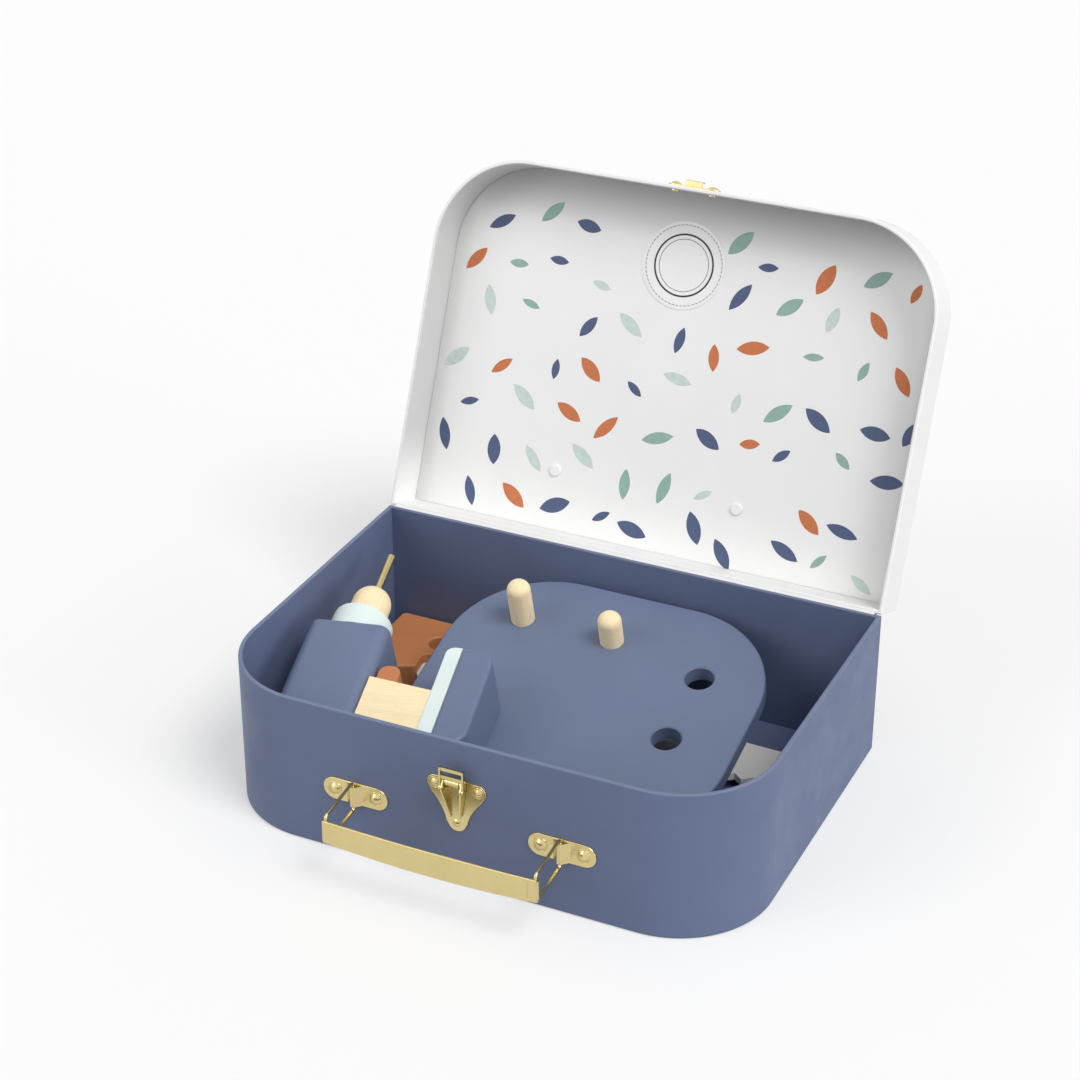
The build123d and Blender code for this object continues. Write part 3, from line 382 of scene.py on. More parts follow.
def cloth_material(name, colour, thread, turn):
    """Plain-woven cloth strip."""
    make = Shader(name)
    local = make.placed((0, 0, 0), turn)
    waves = {"Vector": local, "Scale": WAVE_LENGTH / thread, "Distortion": 0.4}
    warp = make.add("TexWave", {"bands_direction": "X"}, **waves)
    weft = make.add("TexWave", {"bands_direction": "Y"}, **waves)
    weave = make.maths("MAXIMUM", warp.outputs["Fac"], weft.outputs["Fac"])
    slub = make.noise(make.stretched(local, (60.0, 900.0, 900.0)), 1.0, 3.0)
    base = make.mixed(make.ranged(weave, 0.2, 0.9), tone(colour, 0.72), tone(colour, 1.1))
    base = make.mixed(make.maths("MULTIPLY", slub, 0.25), base, tone(colour, 1.3))
    make.relief(weave, 0.5, 0.00015)
    make.main.inputs["Sheen Weight"].default_value = 0.2
    return make.finish(base, 0.85, specular=0.25)


def ink_material(name, colour):
    """Printed ink on paper, a little uneven."""
    make = Shader(name)
    patch = make.noise(make.coords, 420.0, 4.0, 0.7)
    dots = make.ranged(make.noise(make.coords, 2600.0, 2.0), 0.62, 0.74)
    base = make.mixed(make.ranged(patch, 0.3, 0.7), tone(colour, 0.93), tone(colour, 1.07))
    base = make.mixed(make.maths("MULTIPLY", dots, 0.08), base, between(colour, PAPER_UNDER_INK, 0.5))
    make.relief(patch, 0.08, 0.00004)
    return make.finish(base, 0.56, specular=0.4)


def brass_material(name, colour, turn=(0, 0, 0), brushed=0.25):
    """Lacquered brass sheet or wire with fine drawing marks and dull patches."""
    make = Shader(name)
    local = make.placed((0, 0, 0), turn)
    lines = make.noise(make.stretched(local, (60.0, 2400.0, 2400.0)), 1.0, 3.0, 0.6)
    patch = make.noise(local, 70.0, 4.0, 0.6)
    speck = make.ranged(make.noise(local, 900.0, 3.0, 0.7), 0.68, 0.8)
    base = make.mixed(make.ranged(patch, 0.3, 0.7), tone(colour, 1.02), tone(colour, 0.97))
    base = make.mixed(make.maths("MULTIPLY", speck, 0.14), base, tone(colour, 0.7))
    rough = make.ranged(patch, 0.25, 0.75, brushed - 0.03, brushed + 0.03)
    rough = make.maths("ADD", rough, make.maths("MULTIPLY", lines, 0.05))
    make.relief(lines, 0.06, 0.00005)
    return make.finish(base, rough, metallic=1.0)


def beech_material(name, colour, along, centre=(0, 0, 0)):
    """Bare beech: fine grain along an axis, short dark flecks and faint growth lines."""
    make = Shader(name)
    turn = Vector(along).to_track_quat("Z", "Y").to_euler()
    local = make.placed(tuple(centre), tuple(turn))
    grain = make.noise(make.stretched(local, (900.0, 900.0, 32.0)), 1.0, 4.0, 0.6)
    fleck = make.noise(make.stretched(local, (1500.0, 1500.0, 260.0)), 1.0, 2.0, 0.5)
    growth = make.add(
        "TexWave",
        {"wave_type": "RINGS", "rings_direction": "Z"},
        Vector=make.stretched(local, (1.0, 0.7, 0.03)),
        Scale=62.0,
        Distortion=3.0,
        Detail=2.0,
        Detail_Scale=1.4,
    )
    base = make.mixed(make.ranged(grain, 0.3, 0.7), tone(colour, 1.03), tone(colour, 0.93))
    base = make.mixed(make.maths("MULTIPLY", growth.outputs["Fac"], 0.14), base, tone(colour, 0.82))
    mark = make.ranged(fleck, 0.6, 0.68)
    dark = (colour[0] * 0.72, colour[1] * 0.58, colour[2] * 0.45, 1)
    base = make.mixed(make.maths("MULTIPLY", mark, 0.24), base, dark)
    make.relief(make.maths("SUBTRACT", grain, make.maths("MULTIPLY", mark, 0.6)), 0.16, 0.0001)
    rough = make.ranged(grain, 0.3, 0.7, 0.46, 0.58)
    return make.finish(base, rough, specular=0.4)


def paint_material(name, colour, along=(1, 0, 0), gloss=0.48):
    """Matte paint on wood: fine skin, a trace of the grain below, and a few rubbed specks."""
    make = Shader(name)
    turn = Vector(along).to_track_quat("Z", "Y").to_euler()
    local = make.placed((0, 0, 0), tuple(turn))
    skin = make.noise(local, 700.0, 3.0, 0.5)
    grain = make.noise(make.stretched(local, (420.0, 420.0, 16.0)), 1.0, 3.0, 0.6)
    cloud = make.noise(local, 24.0, 3.0)
    base = make.mixed(make.ranged(cloud, 0.3, 0.7), tone(colour, 0.965), tone(colour, 1.035))
    streak = make.maths("MULTIPLY", make.ranged(grain, 0.52, 0.75), 0.2)
    base = make.mixed(streak, base, tone(colour, 0.86))
    speck = make.ranged(make.noise(local, 520.0, 2.0), 0.73, 0.77)
    base = make.mixed(make.maths("MULTIPLY", speck, 0.1), base, between(colour, WOOD_UNDER_PAINT, 0.35))
    make.relief(make.maths("ADD", skin, make.maths("MULTIPLY", grain, 0.8)), 0.1, 0.00014)
    rough = make.ranged(cloud, 0.3, 0.7, gloss - 0.04, gloss + 0.06)
    return make.finish(base, rough, specular=0.42)


def plastic_material(name, colour):
    """Satin moulded plastic."""
    make = Shader(name)
    skin = make.noise(make.coords, 1300.0, 2.0)
    cloud = make.ranged(make.noise(make.coords, 90.0), 0.3, 0.7)
    base = make.mixed(cloud, tone(colour, 0.96), tone(colour, 1.02))
    make.relief(skin, 0.1, 0.00005)
    return make.finish(base, make.ranged(skin, 0.3, 0.7, 0.36, 0.46))


def steel_material(name):
    """Bright drawn spring wire."""
    make = Shader(name)
    lines = make.noise(make.coords, 1800.0, 3.0)
    base = make.mixed(lines, (0.62, 0.63, 0.65, 1), (0.5, 0.5, 0.52, 1))
    make.relief(lines, 0.05, 0.00003)
    return make.finish(base, make.ranged(lines, 0.3, 0.7, 0.24, 0.34), metallic=1.0)


def dress(material, slot, *names):
    """Gives CAD nodes a material; the slot argument is not used."""
    for name in names:
        mesh = NODES[name].data
        mesh.materials.clear()
        mesh.materials.append(material)


def new_piece(name, made, material, body=None, place=Matrix.Identity(4), smooth=None):
    """Makes a piece from a bmesh, puts its place in its mesh, and lets it ride on a body, if any."""
    bmesh.ops.transform(made, matrix=place, verts=made.verts)
    mesh = bpy.data.meshes.new(name)
    made.to_mesh(mesh)
    made.free()
    mesh.materials.append(material)
    piece = bpy.data.objects.new(name, mesh)
    bpy.context.scene.collection.objects.link(piece)
    if smooth is not None:
        for polygon in mesh.polygons:
            polygon.use_smooth = True
        mesh.set_sharp_from_angle(angle=math.radians(smooth))
    if body:
        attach(piece, body)
    return piece


def shift(made, geom, way):
    """Moves the vertices among what a bmesh operator returned, and turns all faces outwards."""
    verts = [item for item in geom if isinstance(item, bmesh.types.BMVert)]
    bmesh.ops.translate(made, verts=verts, vec=way)
    bmesh.ops.recalc_face_normals(made, faces=made.faces)


def thicken(made, way):
    """Extrudes all faces, which are flat, into a thin closed slab."""
    out = bmesh.ops.extrude_face_region(made, geom=made.faces[:])
    shift(made, out["geom"], way)


def bevel(made, geom, offset, segments, affect="EDGES"):
    """Rounds edges, or corners, with segments of the same material."""
    bmesh.ops.bevel(
        made,
        geom=geom,
        offset=offset,
        segments=segments,
        profile=0.5,
        affect=affect,
        material=-1,
    )


def add_leaf(made, length, width, place):
    """Adds a leaf outline made of two arcs, pointed at both ends, as one face."""
    radius = (length * length + width * width) / (4 * width)
    sweep = 2 * math.asin(min(1.0, length / (2 * radius)))
    for side in (1, -1):
        centre = Vector((0, side * (width / 2 - radius), 0))
        tip = bmesh.ops.create_vert(made, co=(-length / 2, 0, 0))["vert"][0]
        bmesh.ops.spin(made, geom=[tip], cent=centre, axis=(0, 0, -side), angle=sweep, steps=12)
    loose = [vert for vert in made.verts if not vert.link_faces]
    bmesh.ops.remove_doubles(made, verts=loose, dist=length * 0.002)
    loose = [vert for vert in made.verts if not vert.link_faces]
    edges = [edge for edge in made.edges if not edge.link_faces]
    bmesh.ops.contextual_create(made, geom=edges)
    bmesh.ops.transform(made, matrix=place, verts=loose)


def in_lid(name):
    """Points of a CAD node in the lid's frame."""
    to_lid = LID_FRAME.inverted()
    return [to_lid @ vert.co for vert in NODES[name].data.vertices]


def on_lining(x, y, half_width, depth, margin):
    """Whether a place lies inside the lining's outline, whose far corners are round."""
    if abs(x) > half_width - margin or not margin < y < depth - margin:
        return False
    corner_x, corner_y = half_width - LINING_CORNER, depth - LINING_CORNER
    if abs(x) > corner_x and y > corner_y:
        return math.hypot(abs(x) - corner_x, y - corner_y) < LINING_CORNER - margin
    return True


class TOOLCASE_OT_card(bpy.types.Operator):
    """Cover the tray and the lid with printed paper"""

    bl_idname = "toolcase.card"
    bl_label = "Card"

    def execute(self, context):
        card = context.scene.toolcase_card
        tray_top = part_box("tray_wall")[1].z
        upright = ((0, 0, 0), (0, 0, 0))
        blue = card_material("Blue card", card.blue, card.fibre, upright, tray_top, card.rim_wear_and_highlight)
        dress(blue, "blue_card", "tray_wall", "tray_base")
        finish = (card.white, card.fibre, LID_PLACE, LID_RIM, card.rim_wear_and_highlight)
        dress(card_material("White card", *finish), "white_card", "lid_panel")
        # The lid wall's inner faces are painted darker, as painted shade
        wall = card_material("Lid wall card", *finish, inside=(tuple(LID_MIDDLE), INNER_WALL_PAINTED_SHADE))
        dress(wall, "white_card", "lid_wall")
        return {"FINISHED"}


class TOOLCASE_OT_hinge(bpy.types.Operator):
    """Weave the hinge strips and close the fold between them"""

    bl_idname = "toolcase.hinge"
    bl_label = "Cloth hinge"

    def execute(self, context):
        card = context.scene.toolcase_card
        upright = (math.radians(90), 0, 0)
        blue = cloth_material("Blue hinge cloth", tone(card.blue, 0.86)[:3], card.thread, upright)
        leaning = (LID_ANGLE, 0, 0)
        white = cloth_material("White hinge cloth", tone(card.white, 0.94)[:3], card.thread, leaning)
        dress(blue, "blue_cloth", "hinge_tape_tray")
        dress(white, "white_cloth", "hinge_tape_lid")
        low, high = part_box("hinge_tape_tray")
        half = (high.x - low.x) / 2
        up_lid = Vector((0, math.cos(LID_ANGLE), math.sin(LID_ANGLE)))
        into_lid = Vector((0, -math.sin(LID_ANGLE), math.cos(LID_ANGLE)))
        # Outside, round the pivot: from 4 mm down the tray's rear wall to 4 mm along the lid's
        low = HINGE + Vector((0, 0.45, -4.0)) * MM
        far = HINGE - into_lid * 4.0 * MM - up_lid * 0.45 * MM
        crease = HINGE + Vector((0, 0.7, -0.8)) * MM
        chain = (low, low.lerp(crease, 0.6), crease, crease.lerp(far, 0.4), far)
        self.make_fold("hinge_fold", chain, half, 0.25 * MM, blue, "blue_cloth")
        # Inside: a narrow strip that closes the gap between the tray's rim and the lid
        low = HINGE + Vector((0, -1.3, 0.12)) * MM
        far = HINGE + up_lid * 1.3 * MM - into_lid * 0.3 * MM
        crease = HINGE + Vector((0, 0.05, 0.16)) * MM
        chain = (low, low.lerp(crease, 0.55), crease, crease.lerp(far, 0.45), far)
        self.make_fold("hinge_fold_inside", chain, half, 0.12 * MM, white, "white_cloth")
        return {"FINISHED"}

    def make_fold(self, name, chain, half, thickness, material, slot):
        """Cloth strip over the fold, through a chain of places from the tray to the lid."""
        made = bmesh.new()
        verts = [made.verts.new((-half, place.y, place.z)) for place in chain]
        edges = [made.edges.new(pair) for pair in zip(verts, verts[1:])]
        out = bmesh.ops.extrude_edge_only(made, edges=edges)
        shift(made, out["geom"], (2 * half, 0, 0))
        bmesh.ops.solidify(made, geom=made.faces[:], thickness=thickness)
        bmesh.ops.recalc_face_normals(made, faces=made.faces)
        fold = new_piece(name, made, material, smooth=50)
        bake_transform(fold)


class TOOLCASE_OT_lining(bpy.types.Operator):
    """Print leaves on the lid's lining, and add its round label and its two caps"""

    bl_idname = "toolcase.lining"
    bl_label = "Lid lining"

    def execute(self, context):
        card, ink = context.scene.toolcase_card, context.scene.toolcase_print
        label = card_material("Label paper", LABEL_WHITE, card.fibre * 0.8, LID_PLACE, *NO_RIM)
        dress(self.lining_paper(card), "printed_paper", "lid_lining")
        dress(label, "label_paper", "round_label")
        dress(plastic_material("White plastic", CAP_WHITE), "white_plastic", "lid_caps")
        corners = in_lid("lid_lining")
        level = max(corner.z for corner in corners)
        half_width = max(corner.x for corner in corners)
        depth = max(corner.y for corner in corners)
        spots = in_lid("round_label")
        label_centre = sum(spots, Vector()) / len(spots)
        label_level = max(spot.z for spot in spots)
        label_radius = max((spot - label_centre).to_2d().length for spot in spots)
        rims = in_lid("lid_caps")
        cap_y = sum(rim.y for rim in rims) / len(rims)
        cap_xs = (min(rim.x for rim in rims) + CAP_RADIUS, max(rim.x for rim in rims) - CAP_RADIUS)
        keep_off = [(Vector((x, cap_y)), CAP_SPACE, 0.5) for x in cap_xs]
        keep_off.append((label_centre.to_2d(), label_radius, 0.55))
        self.print_leaves(ink, level, half_width, depth, keep_off)
        self.print_label(label_centre, label_level, label_radius)
        return {"FINISHED"}

    def lining_paper(self, card):
        """Matte printed paper with painted shade, darker towards its far edge and, less, towards its
        sides.
        """
        material = card_material("Lining paper", LINING_WHITE, card.fibre, LID_PLACE, *NO_RIM)
        make = Shader.of(material)
        local = make.placed(*LID_PLACE)
        # Painted shade: the paper darkens towards the lining's far edge and, less, towards its sides
        far = make.ranged(make.axis(local, "Y"), *FAR_SHADE_SPAN)
        side = make.ranged(make.maths("ABSOLUTE", make.axis(local, "X")), *SIDE_SHADE_SPAN)
        share = make.maths("MAXIMUM", far, make.maths("MULTIPLY", side, 0.6))
        socket = make.main.inputs["Base Color"]
        printed = socket.links[0].from_socket
        make.put(socket, make.mixed(share, printed, tone(LINING_WHITE, LINING_PAINTED_SHADE)))
        return material

    def print_leaves(self, ink, level, half_width, depth, keep_off):
        """Scatters leaves over the lining on a shaken grid, one piece for each ink.

        Each entry of keep_off is a round spot's centre and radius, and the share of its
        length by which a leaf stays clear of it.
        """
        dice = random.Random(ink.seed)
        inks = {
            "leaves_navy": ink_material("Navy ink", ink.navy),
            "leaves_terracotta": ink_material("Terracotta ink", ink.terracotta),
            "leaves_sage": ink_material("Sage ink", ink.sage),
            "leaves_mist": ink_material("Mist ink", ink.mist),
        }
        meshes = {name: bmesh.new() for name in inks}
        rows = int(depth / ink.spacing) + 1
        columns = int(2 * half_width / ink.spacing) + 1
        for row in range(rows):
            for column in range(columns):
                x = (column - columns / 2 + 0.5 + (0.25 if row % 2 else -0.25)) * ink.spacing
                y = (row + 0.55) * ink.spacing * 0.98
                x += dice.uniform(-STRAY, STRAY) * ink.spacing
                y += dice.uniform(-STRAY, STRAY) * ink.spacing
                size = ink.leaf * dice.choice(LEAF_LENGTHS)
                slim = dice.uniform(*LEAF_WIDTHS)
                turn = dice.uniform(0, math.tau)
                name = dice.choices(list(INK_SHARES), list(INK_SHARES.values()))[0]
                gaps = [
                    (Vector((x, y)) - centre).length - radius - size * share
                    for centre, radius, share in keep_off
                ]
                if min(gaps) >= 0 and on_lining(x, y, half_width, depth, size * 0.44):
                    place = Matrix.Translation((x, y, 0)) @ Matrix.Rotation(turn, 4, "Z")
                    add_leaf(meshes[name], size, size * slim, place)
        for name, made in meshes.items():
            thicken(made, (0, 0, INK_THICKNESS))
            place = LID_FRAME @ Matrix.Translation((0, 0, level))
            new_piece(name, made, inks[name], "lid", place)

    def print_label(self, centre, level, radius):
        """Rings of ink and a round of stitches on the label."""
        place = LID_FRAME @ Matrix.Translation((centre.x, centre.y, level))
        black = ink_material("Black ink", LABEL_BLACK)
        thread = cloth_material("Stitch thread", THREAD_GREY, 0.3 * MM, (LID_ANGLE, 0, 0))
        made = bmesh.new()
        for outer, inner in RINGS:
            bmesh.ops.create_circle(made, segments=96, radius=radius * outer)
            bmesh.ops.create_circle(made, segments=96, radius=radius * inner)
            loops = [edge for edge in made.edges if not edge.link_faces]
            bmesh.ops.bridge_loops(made, edges=loops)
        thicken(made, (0, 0, INK_THICKNESS))
        new_piece("label_rings", made, black, "lid", place)
        made = bmesh.new()
        dash = Matrix.Translation((radius * STITCH_RADIUS, 0, INK_THICKNESS))
        bmesh.ops.create_cube(made, size=1, matrix=dash @ Matrix.Diagonal((*STITCH_SIZE, 1)))
        bevel(made, made.edges[:], 0.06 * MM, 1)
        bmesh.ops.spin(
            made,
            geom=made.verts[:] + made.edges[:] + made.faces[:],
            axis=(0, 0, 1),
            angle=math.tau * (STITCHES - 1) / STITCHES,
            steps=STITCHES - 1,
            use_duplicate=True,
        )
        new_piece("label_stitches", made, thread, "lid", place)


class TOOLCASE_OT_brass(bpy.types.Operator):
    """Finish the brackets, rivets, handle, latch and catch in brass"""

    bl_idname = "toolcase.brass"
    bl_label = "Brass fittings"

    def execute(self, context):
        brass = context.scene.toolcase_brass
        sheet = brass_material("Brass sheet", brass.colour, brushed=0.24)
        grip = brass_material("Brass grip", brass.colour, brushed=0.3)
        wire = brass_material("Brass wire", tone(brass.colour, 0.95)[:3], (0, 0, math.radians(90)), 0.2)
        dress(sheet, "brass", "handle_bracket_left", "handle_bracket_right", "bracket_rivets")
        dress(sheet, "brass", "latch_plate", "latch_lever", "latch_rivets", "latch_pin")
        dress(sheet, "brass", "lid_catch", "catch_rivets")
        dress(grip, "brass", "handle_grip")
        dress(wire, "brass", "handle_ring_left", "handle_ring_right", "latch_loop")
        self.emboss_grip(brass, self.dotted(grip))
        self.press_seats(brass, sheet)
        return {"FINISHED"}

    def dotted(self, grip):
        """Grip brass with rows of small punched dots."""
        material = grip.copy()
        material.name = "Punched brass"
        make = Shader.of(material)
        cells = make.add("TexVoronoi", Vector=make.coords, Scale=460.0, Randomness=0.0)
        pit = make.ranged(cells.outputs["Distance"], 0.1, 0.2)
        first = make.main.inputs["Normal"].links[0].from_socket
        second = make.add("Bump", Height=pit, Strength=0.25, Distance=0.0002, Normal=first)
        make.put(make.main.inputs["Normal"], second.outputs["Normal"])
        return material

    def emboss_grip(self, brass, punched):
        """Raised panel on the grip's face, bowed as the grip is."""
        low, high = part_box("handle_grip")
        edge_top, edge_low = high.z - PANEL_TOP, high.z - PANEL_FOOT
        half = (high.x - low.x) / 2 - PANEL_END
        middle = (low.x + high.x) / 2
        made = bmesh.new()
        bmesh.ops.create_grid(made, x_segments=36, y_segments=6, size=1.0)
        corners = [vert for vert in made.verts if len(vert.link_edges) == 2]
        bevel(made, corners, 0.05, 3, "VERTICES")
        for vert in made.verts:
            across, up = vert.co.x, (vert.co.y + 1) / 2
            bow = 1 - across * across
            top = edge_top - TOP_BOW * bow
            bottom = edge_low - FOOT_BOW * bow
            vert.co = (middle + across * half, low.y, bottom + (top - bottom) * up)
        thicken(made, (0, -brass.emboss, 0))
        sharp = [edge for edge in made.edges if edge.calc_face_angle(0) > 0.8]
        front = low.y - brass.emboss / 2
        rim = [edge for edge in sharp if max(vert.co.y for vert in edge.verts) < front]
        bevel(made, rim, PANEL_ROUND, 2)
        new_piece("grip_panel", made, punched, "grip", smooth=30)

    def press_seats(self, brass, sheet):
        """Pressed ring round each rivet of the brackets and the latch."""
        rivets_low, rivets_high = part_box("bracket_rivets")
        latch_low, latch_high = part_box("latch_rivets")
        brackets = ("handle_bracket_left", "handle_bracket_right")
        centres = [sum(corner.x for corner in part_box(name)) / 2 for name in brackets]
        reach = rivets_high.x - brass.rivet - centres[1]
        level = (rivets_low.z + rivets_high.z) / 2
        spots = [(centre + side * reach, level, brass.seat) for centre in centres for side in (-1, 1)]
        small = brass.small_rivet
        for x in (latch_low.x + small, latch_high.x - small):
            spots.append((x, latch_high.z - small, brass.small_seat))
        face = -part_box("tray_wall")[1].y - PLATE_THICKNESS
        made = bmesh.new()
        for x, z, radius in spots:
            ring = bmesh.new()
            turn = Matrix.Translation((radius, 0, 0)) @ Matrix.Rotation(math.radians(90), 4, "X")
            bmesh.ops.create_circle(ring, segments=8, radius=SEAT_WIRE, matrix=turn)
            bmesh.ops.spin(
                ring,
                geom=ring.verts[:] + ring.edges[:],
                axis=(0, 0, 1),
                angle=math.tau,
                steps=40,
                use_merge=True,
            )
            bmesh.ops.recalc_face_normals(ring, faces=ring.faces)
            stand = Matrix.Translation((x, face, z)) @ Matrix.Rotation(math.radians(90), 4, "X")
            bmesh.ops.transform(ring, matrix=stand, verts=ring.verts)
            part = bpy.data.meshes.new("seat")
            ring.to_mesh(part)
            ring.free()
            made.from_mesh(part)
            bpy.data.meshes.remove(part)
        new_piece("rivet_seats", made, sheet, "case", smooth=50)


class TOOLCASE_OT_bench(bpy.types.Operator):
    """Paint the peg bench and give its pegs their grain"""

    bl_idname = "toolcase.bench"
    bl_label = "Peg bench"

    def execute(self, context):
        wood = context.scene.toolcase_wood
        dress(paint_material("Bench paint", wood.blue, (1, 0, 0)), "blue_wood", "bench_board")
        rails = paint_material("Rail paint", wood.blue, (1, 0, 0.02))
        dress(rails, "blue_wood", "bench_rail_rear", "bench_rail_front")
        for name in ("peg_tall", "peg_short", "bench_dowels"):
            low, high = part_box(name)
            title = name.replace("_", " ").capitalize() + " beech"
            dress(beech_material(title, wood.beech, BENCH_UP, (low + high) / 2), "beech", name)
        return {"FINISHED"}


class TOOLCASE_OT_drill(bpy.types.Operator):
    """Paint the drill and finish its bare wood, bit and spring"""

    bl_idname = "toolcase.drill"
    bl_label = "Drill"

    def execute(self, context):
        wood, brass = context.scene.toolcase_wood, context.scene.toolcase_brass
        across = Vector(JOINTS["trigger_slide"]["axis"]).cross(BENCH_UP)
        dress(paint_material("Barrel paint", wood.blue, DRILL_AXIS), "blue_wood", "drill_barrel")
        battery = paint_material("Battery paint", wood.blue, DRILL_AXIS + BENCH_UP * 0.01)
        dress(battery, "blue_wood", "battery_base")
        mint = paint_material("Mint paint", wood.mint, DRILL_AXIS)
        dress(mint, "mint_wood", "drill_collar", "grip_band")
        trigger = paint_material("Trigger paint", wood.trigger, BENCH_UP)
        dress(trigger, "terracotta_wood", "drill_trigger")
        turned = beech_material("Turned beech", wood.beech, DRILL_AXIS, JOINTS["chuck_spin"]["pos_m"])
        dress(turned, "beech", "drill_chuck", "chuck_spindle")
        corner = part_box("drill_grip")[0]
        block = beech_material("Grip beech", tone(wood.beech, 1.03)[:3], across, corner)
        dress(block, "beech", "drill_grip", "drill_dowels", "spindle_pin", "trigger_pin")
        bit = brass_material("Brass bit", tone(brass.colour, 0.9)[:3], brushed=0.26)
        dress(bit, "brass", "drill_bit")
        self.wind_spring(steel_material("Spring wire"))
        return {"FINISHED"}

    def wind_spring(self, steel):
        """Spring with the shape of its solid, riding on the body the trigger slides in."""
        slide = JOINTS["trigger_slide"]
        made = bmesh.new()
        made.from_mesh(NODES["trigger_spring"].data)
        bmesh.ops.remove_doubles(made, verts=made.verts, dist=0.001 * MM)
        coil = new_piece("spring_coil", made, steel, slide["parent"], smooth=60)
        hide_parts("trigger_spring")
        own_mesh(coil)


class TOOLCASE_OT_saw(bpy.types.Operator):
    """Paint the saw's handle and blade"""

    bl_idname = "toolcase.saw"
    bl_label = "Saw"

    def execute(self, context):
        wood = context.scene.toolcase_wood
        handle = paint_material("Saw handle paint", wood.terracotta, (1, 0.3, 0))
        dress(handle, "terracotta_wood", "saw_handle")
        dress(paint_material("Blade paint", wood.white, (1, 0, 0)), "white_wood", "saw_blade")
        dress(beech_material("Saw dowel beech", wood.beech, (0, 0, 1)), "beech", "saw_dowels")
        return {"FINISHED"}


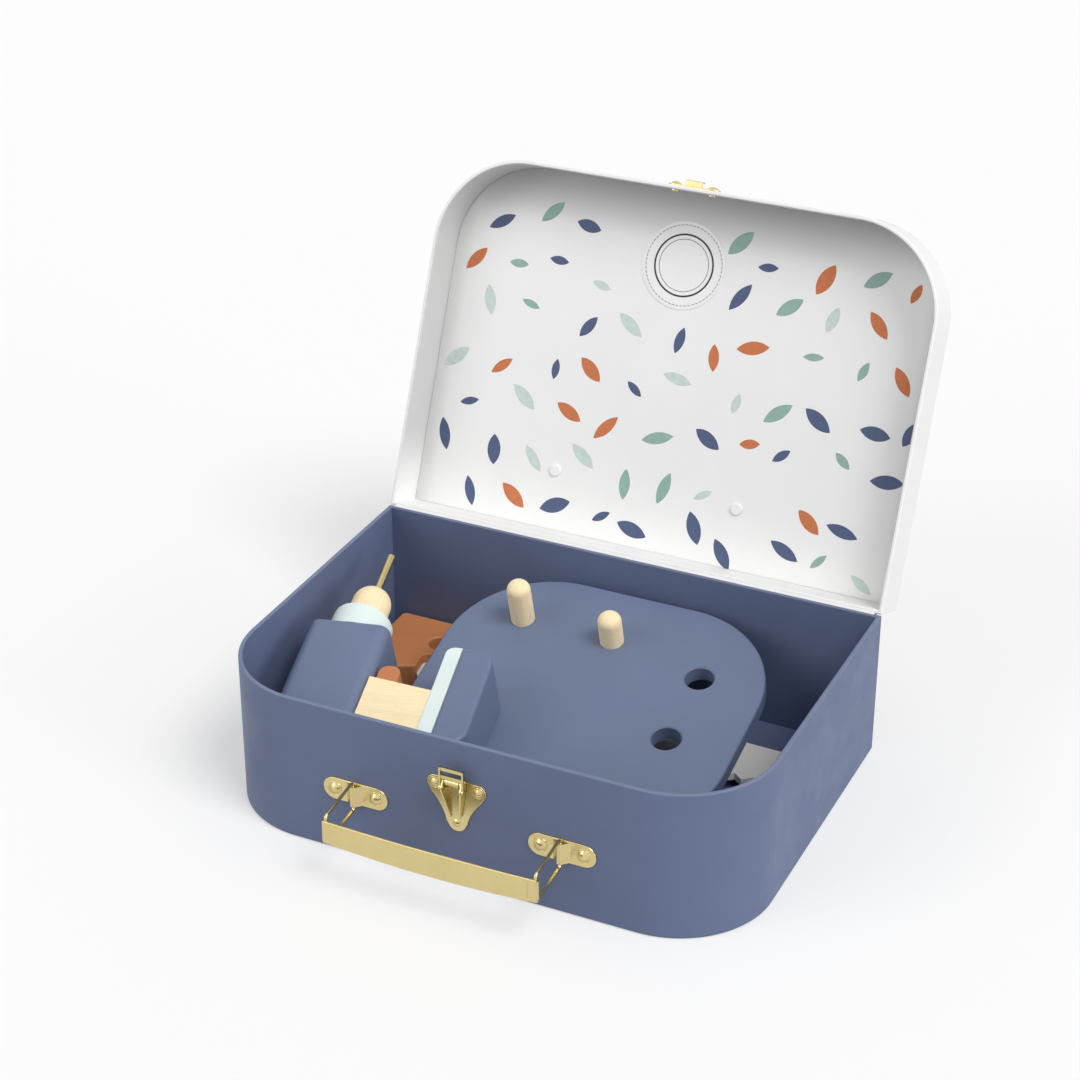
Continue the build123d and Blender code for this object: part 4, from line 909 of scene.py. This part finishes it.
class TOOLCASE_OT_stage(bpy.types.Operator):
    """Set the white floor, the soft lights and the camera"""

    bl_idname = "toolcase.stage"
    bl_label = "Stage"

    def execute(self, context):
        stage = context.scene.toolcase_stage
        self.make_floor()
        self.make_world(context, stage)
        self.make_light("Key light", *KEY_LAMP, stage.key)
        self.make_light("Side light", *SIDE_LAMP, stage.side)
        self.make_light("Fill light", *FILL_LAMP, stage.fill)
        self.make_camera(context, stage)
        context.scene.view_settings.view_transform = "Standard"
        return {"FINISHED"}

    def seen_rays(self, make):
        """1 for a ray from the camera, a mirror or glass, and 0 for any other."""
        path = make.add("LightPath")
        seen = make.maths("MAXIMUM", path.outputs["Is Camera Ray"], path.outputs["Is Glossy Ray"])
        return make.maths("MAXIMUM", seen, path.outputs["Is Transmission Ray"])

    def make_floor(self):
        """Large white floor that keeps the shadows and looks white to the camera."""
        made = bmesh.new()
        bmesh.ops.create_grid(made, x_segments=1, y_segments=1, size=FLOOR_REACH)
        make = Shader("White floor")
        glow = make.maths("MULTIPLY", self.seen_rays(make), FLOOR_GLOW)
        make.main.inputs["Emission Color"].default_value = (1, 1, 1, 1)
        make.put(make.main.inputs["Emission Strength"], glow)
        matte = make.finish(FLOOR_COLOUR, 0.9, specular=0.1)
        floor = new_piece("floor", made, matte)

    def make_world(self, context, stage):
        """White surroundings, plain white to the camera, to metal and to glass."""
        world = bpy.data.worlds.new("White surroundings")
        world.use_nodes = True
        context.scene.world = world
        nodes, links = world.node_tree.nodes, world.node_tree.links
        path = nodes.new("ShaderNodeLightPath")
        seen = path.outputs["Is Camera Ray"]
        for name in ("Is Glossy Ray", "Is Transmission Ray"):
            either = nodes.new("ShaderNodeMath")
            either.operation = "MAXIMUM"
            links.new(seen, either.inputs[0])
            links.new(path.outputs[name], either.inputs[1])
            seen = either.outputs["Value"]
        strength = nodes.new("ShaderNodeMapRange")
        strength.inputs["To Min"].default_value = stage.world
        strength.inputs["To Max"].default_value = 1.0
        links.new(seen, strength.inputs["Value"])
        links.new(strength.outputs["Result"], nodes["Background"].inputs["Strength"])
        nodes["Background"].inputs["Color"].default_value = (1, 1, 1, 1)

    def make_light(self, name, towards, spread, strength):
        """Soft even light that comes from a direction, as a large far lamp gives."""
        data = bpy.data.lights.new(name, "SUN")
        data.angle = math.radians(spread)
        data.energy = strength
        light = bpy.data.objects.new(name, data)
        light.location = Vector(towards).normalized() * 2
        light.rotation_euler = Vector(towards).to_track_quat("Z", "Y").to_euler()
        bpy.context.scene.collection.objects.link(light)

    def make_camera(self, context, stage):
        """Camera at the photograph's angle."""
        data = bpy.data.cameras.new("Camera")
        data.sensor_width = 36.0
        data.lens = stage.lens
        data.clip_start = 0.05
        data.clip_end = 50.0
        camera = bpy.data.objects.new("Camera", data)
        camera.location = CAMERA_PLACE
        camera.rotation_euler = Vector(CAMERA_VIEW).to_track_quat("-Z", "Y").to_euler()
        context.scene.collection.objects.link(camera)
        context.scene.camera = camera


OPERATORS = (
    TOOLCASE_OT_card,
    TOOLCASE_OT_hinge,
    TOOLCASE_OT_lining,
    TOOLCASE_OT_brass,
    TOOLCASE_OT_bench,
    TOOLCASE_OT_drill,
    TOOLCASE_OT_saw,
    TOOLCASE_OT_stage,
)
SETTINGS = {
    "toolcase_card": ToolCaseCardSettings,
    "toolcase_print": ToolCasePrintSettings,
    "toolcase_brass": ToolCaseBrassSettings,
    "toolcase_wood": ToolCaseWoodSettings,
    "toolcase_stage": ToolCaseStageSettings,
}


class TOOLCASE_PT_panel(bpy.types.Panel):
    """Lists the pieces of the tool case"""

    bl_idname = "TOOLCASE_PT_panel"
    bl_label = "Tool Case"
    bl_space_type = "VIEW_3D"
    bl_region_type = "UI"
    bl_category = "Tool Case"

    def draw(self, context):
        for operator in OPERATORS:
            self.layout.operator(operator.bl_idname)
        for name, group in SETTINGS.items():
            box = self.layout.box()
            for key in group.__annotations__:
                box.prop(getattr(context.scene, name), key)


def register():
    """Registers the settings, the operators and the panel."""
    for name, group in SETTINGS.items():
        bpy.utils.register_class(group)
        setattr(bpy.types.Scene, name, PointerProperty(type=group))
    for operator in OPERATORS:
        bpy.utils.register_class(operator)
    bpy.utils.register_class(TOOLCASE_PT_panel)


def unregister():
    """Takes away what register added."""
    bpy.utils.unregister_class(TOOLCASE_PT_panel)
    for operator in reversed(OPERATORS):
        bpy.utils.unregister_class(operator)
    for name, group in SETTINGS.items():
        delattr(bpy.types.Scene, name)
        bpy.utils.unregister_class(group)


def main():
    """Registers the add-on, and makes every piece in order."""
    register()
    bpy.ops.toolcase.card()
    bpy.ops.toolcase.hinge()
    bpy.ops.toolcase.lining()
    bpy.ops.toolcase.brass()
    bpy.ops.toolcase.bench()
    bpy.ops.toolcase.drill()
    bpy.ops.toolcase.saw()
    bpy.ops.toolcase.stage()


if __name__ == "__main__":
    main()
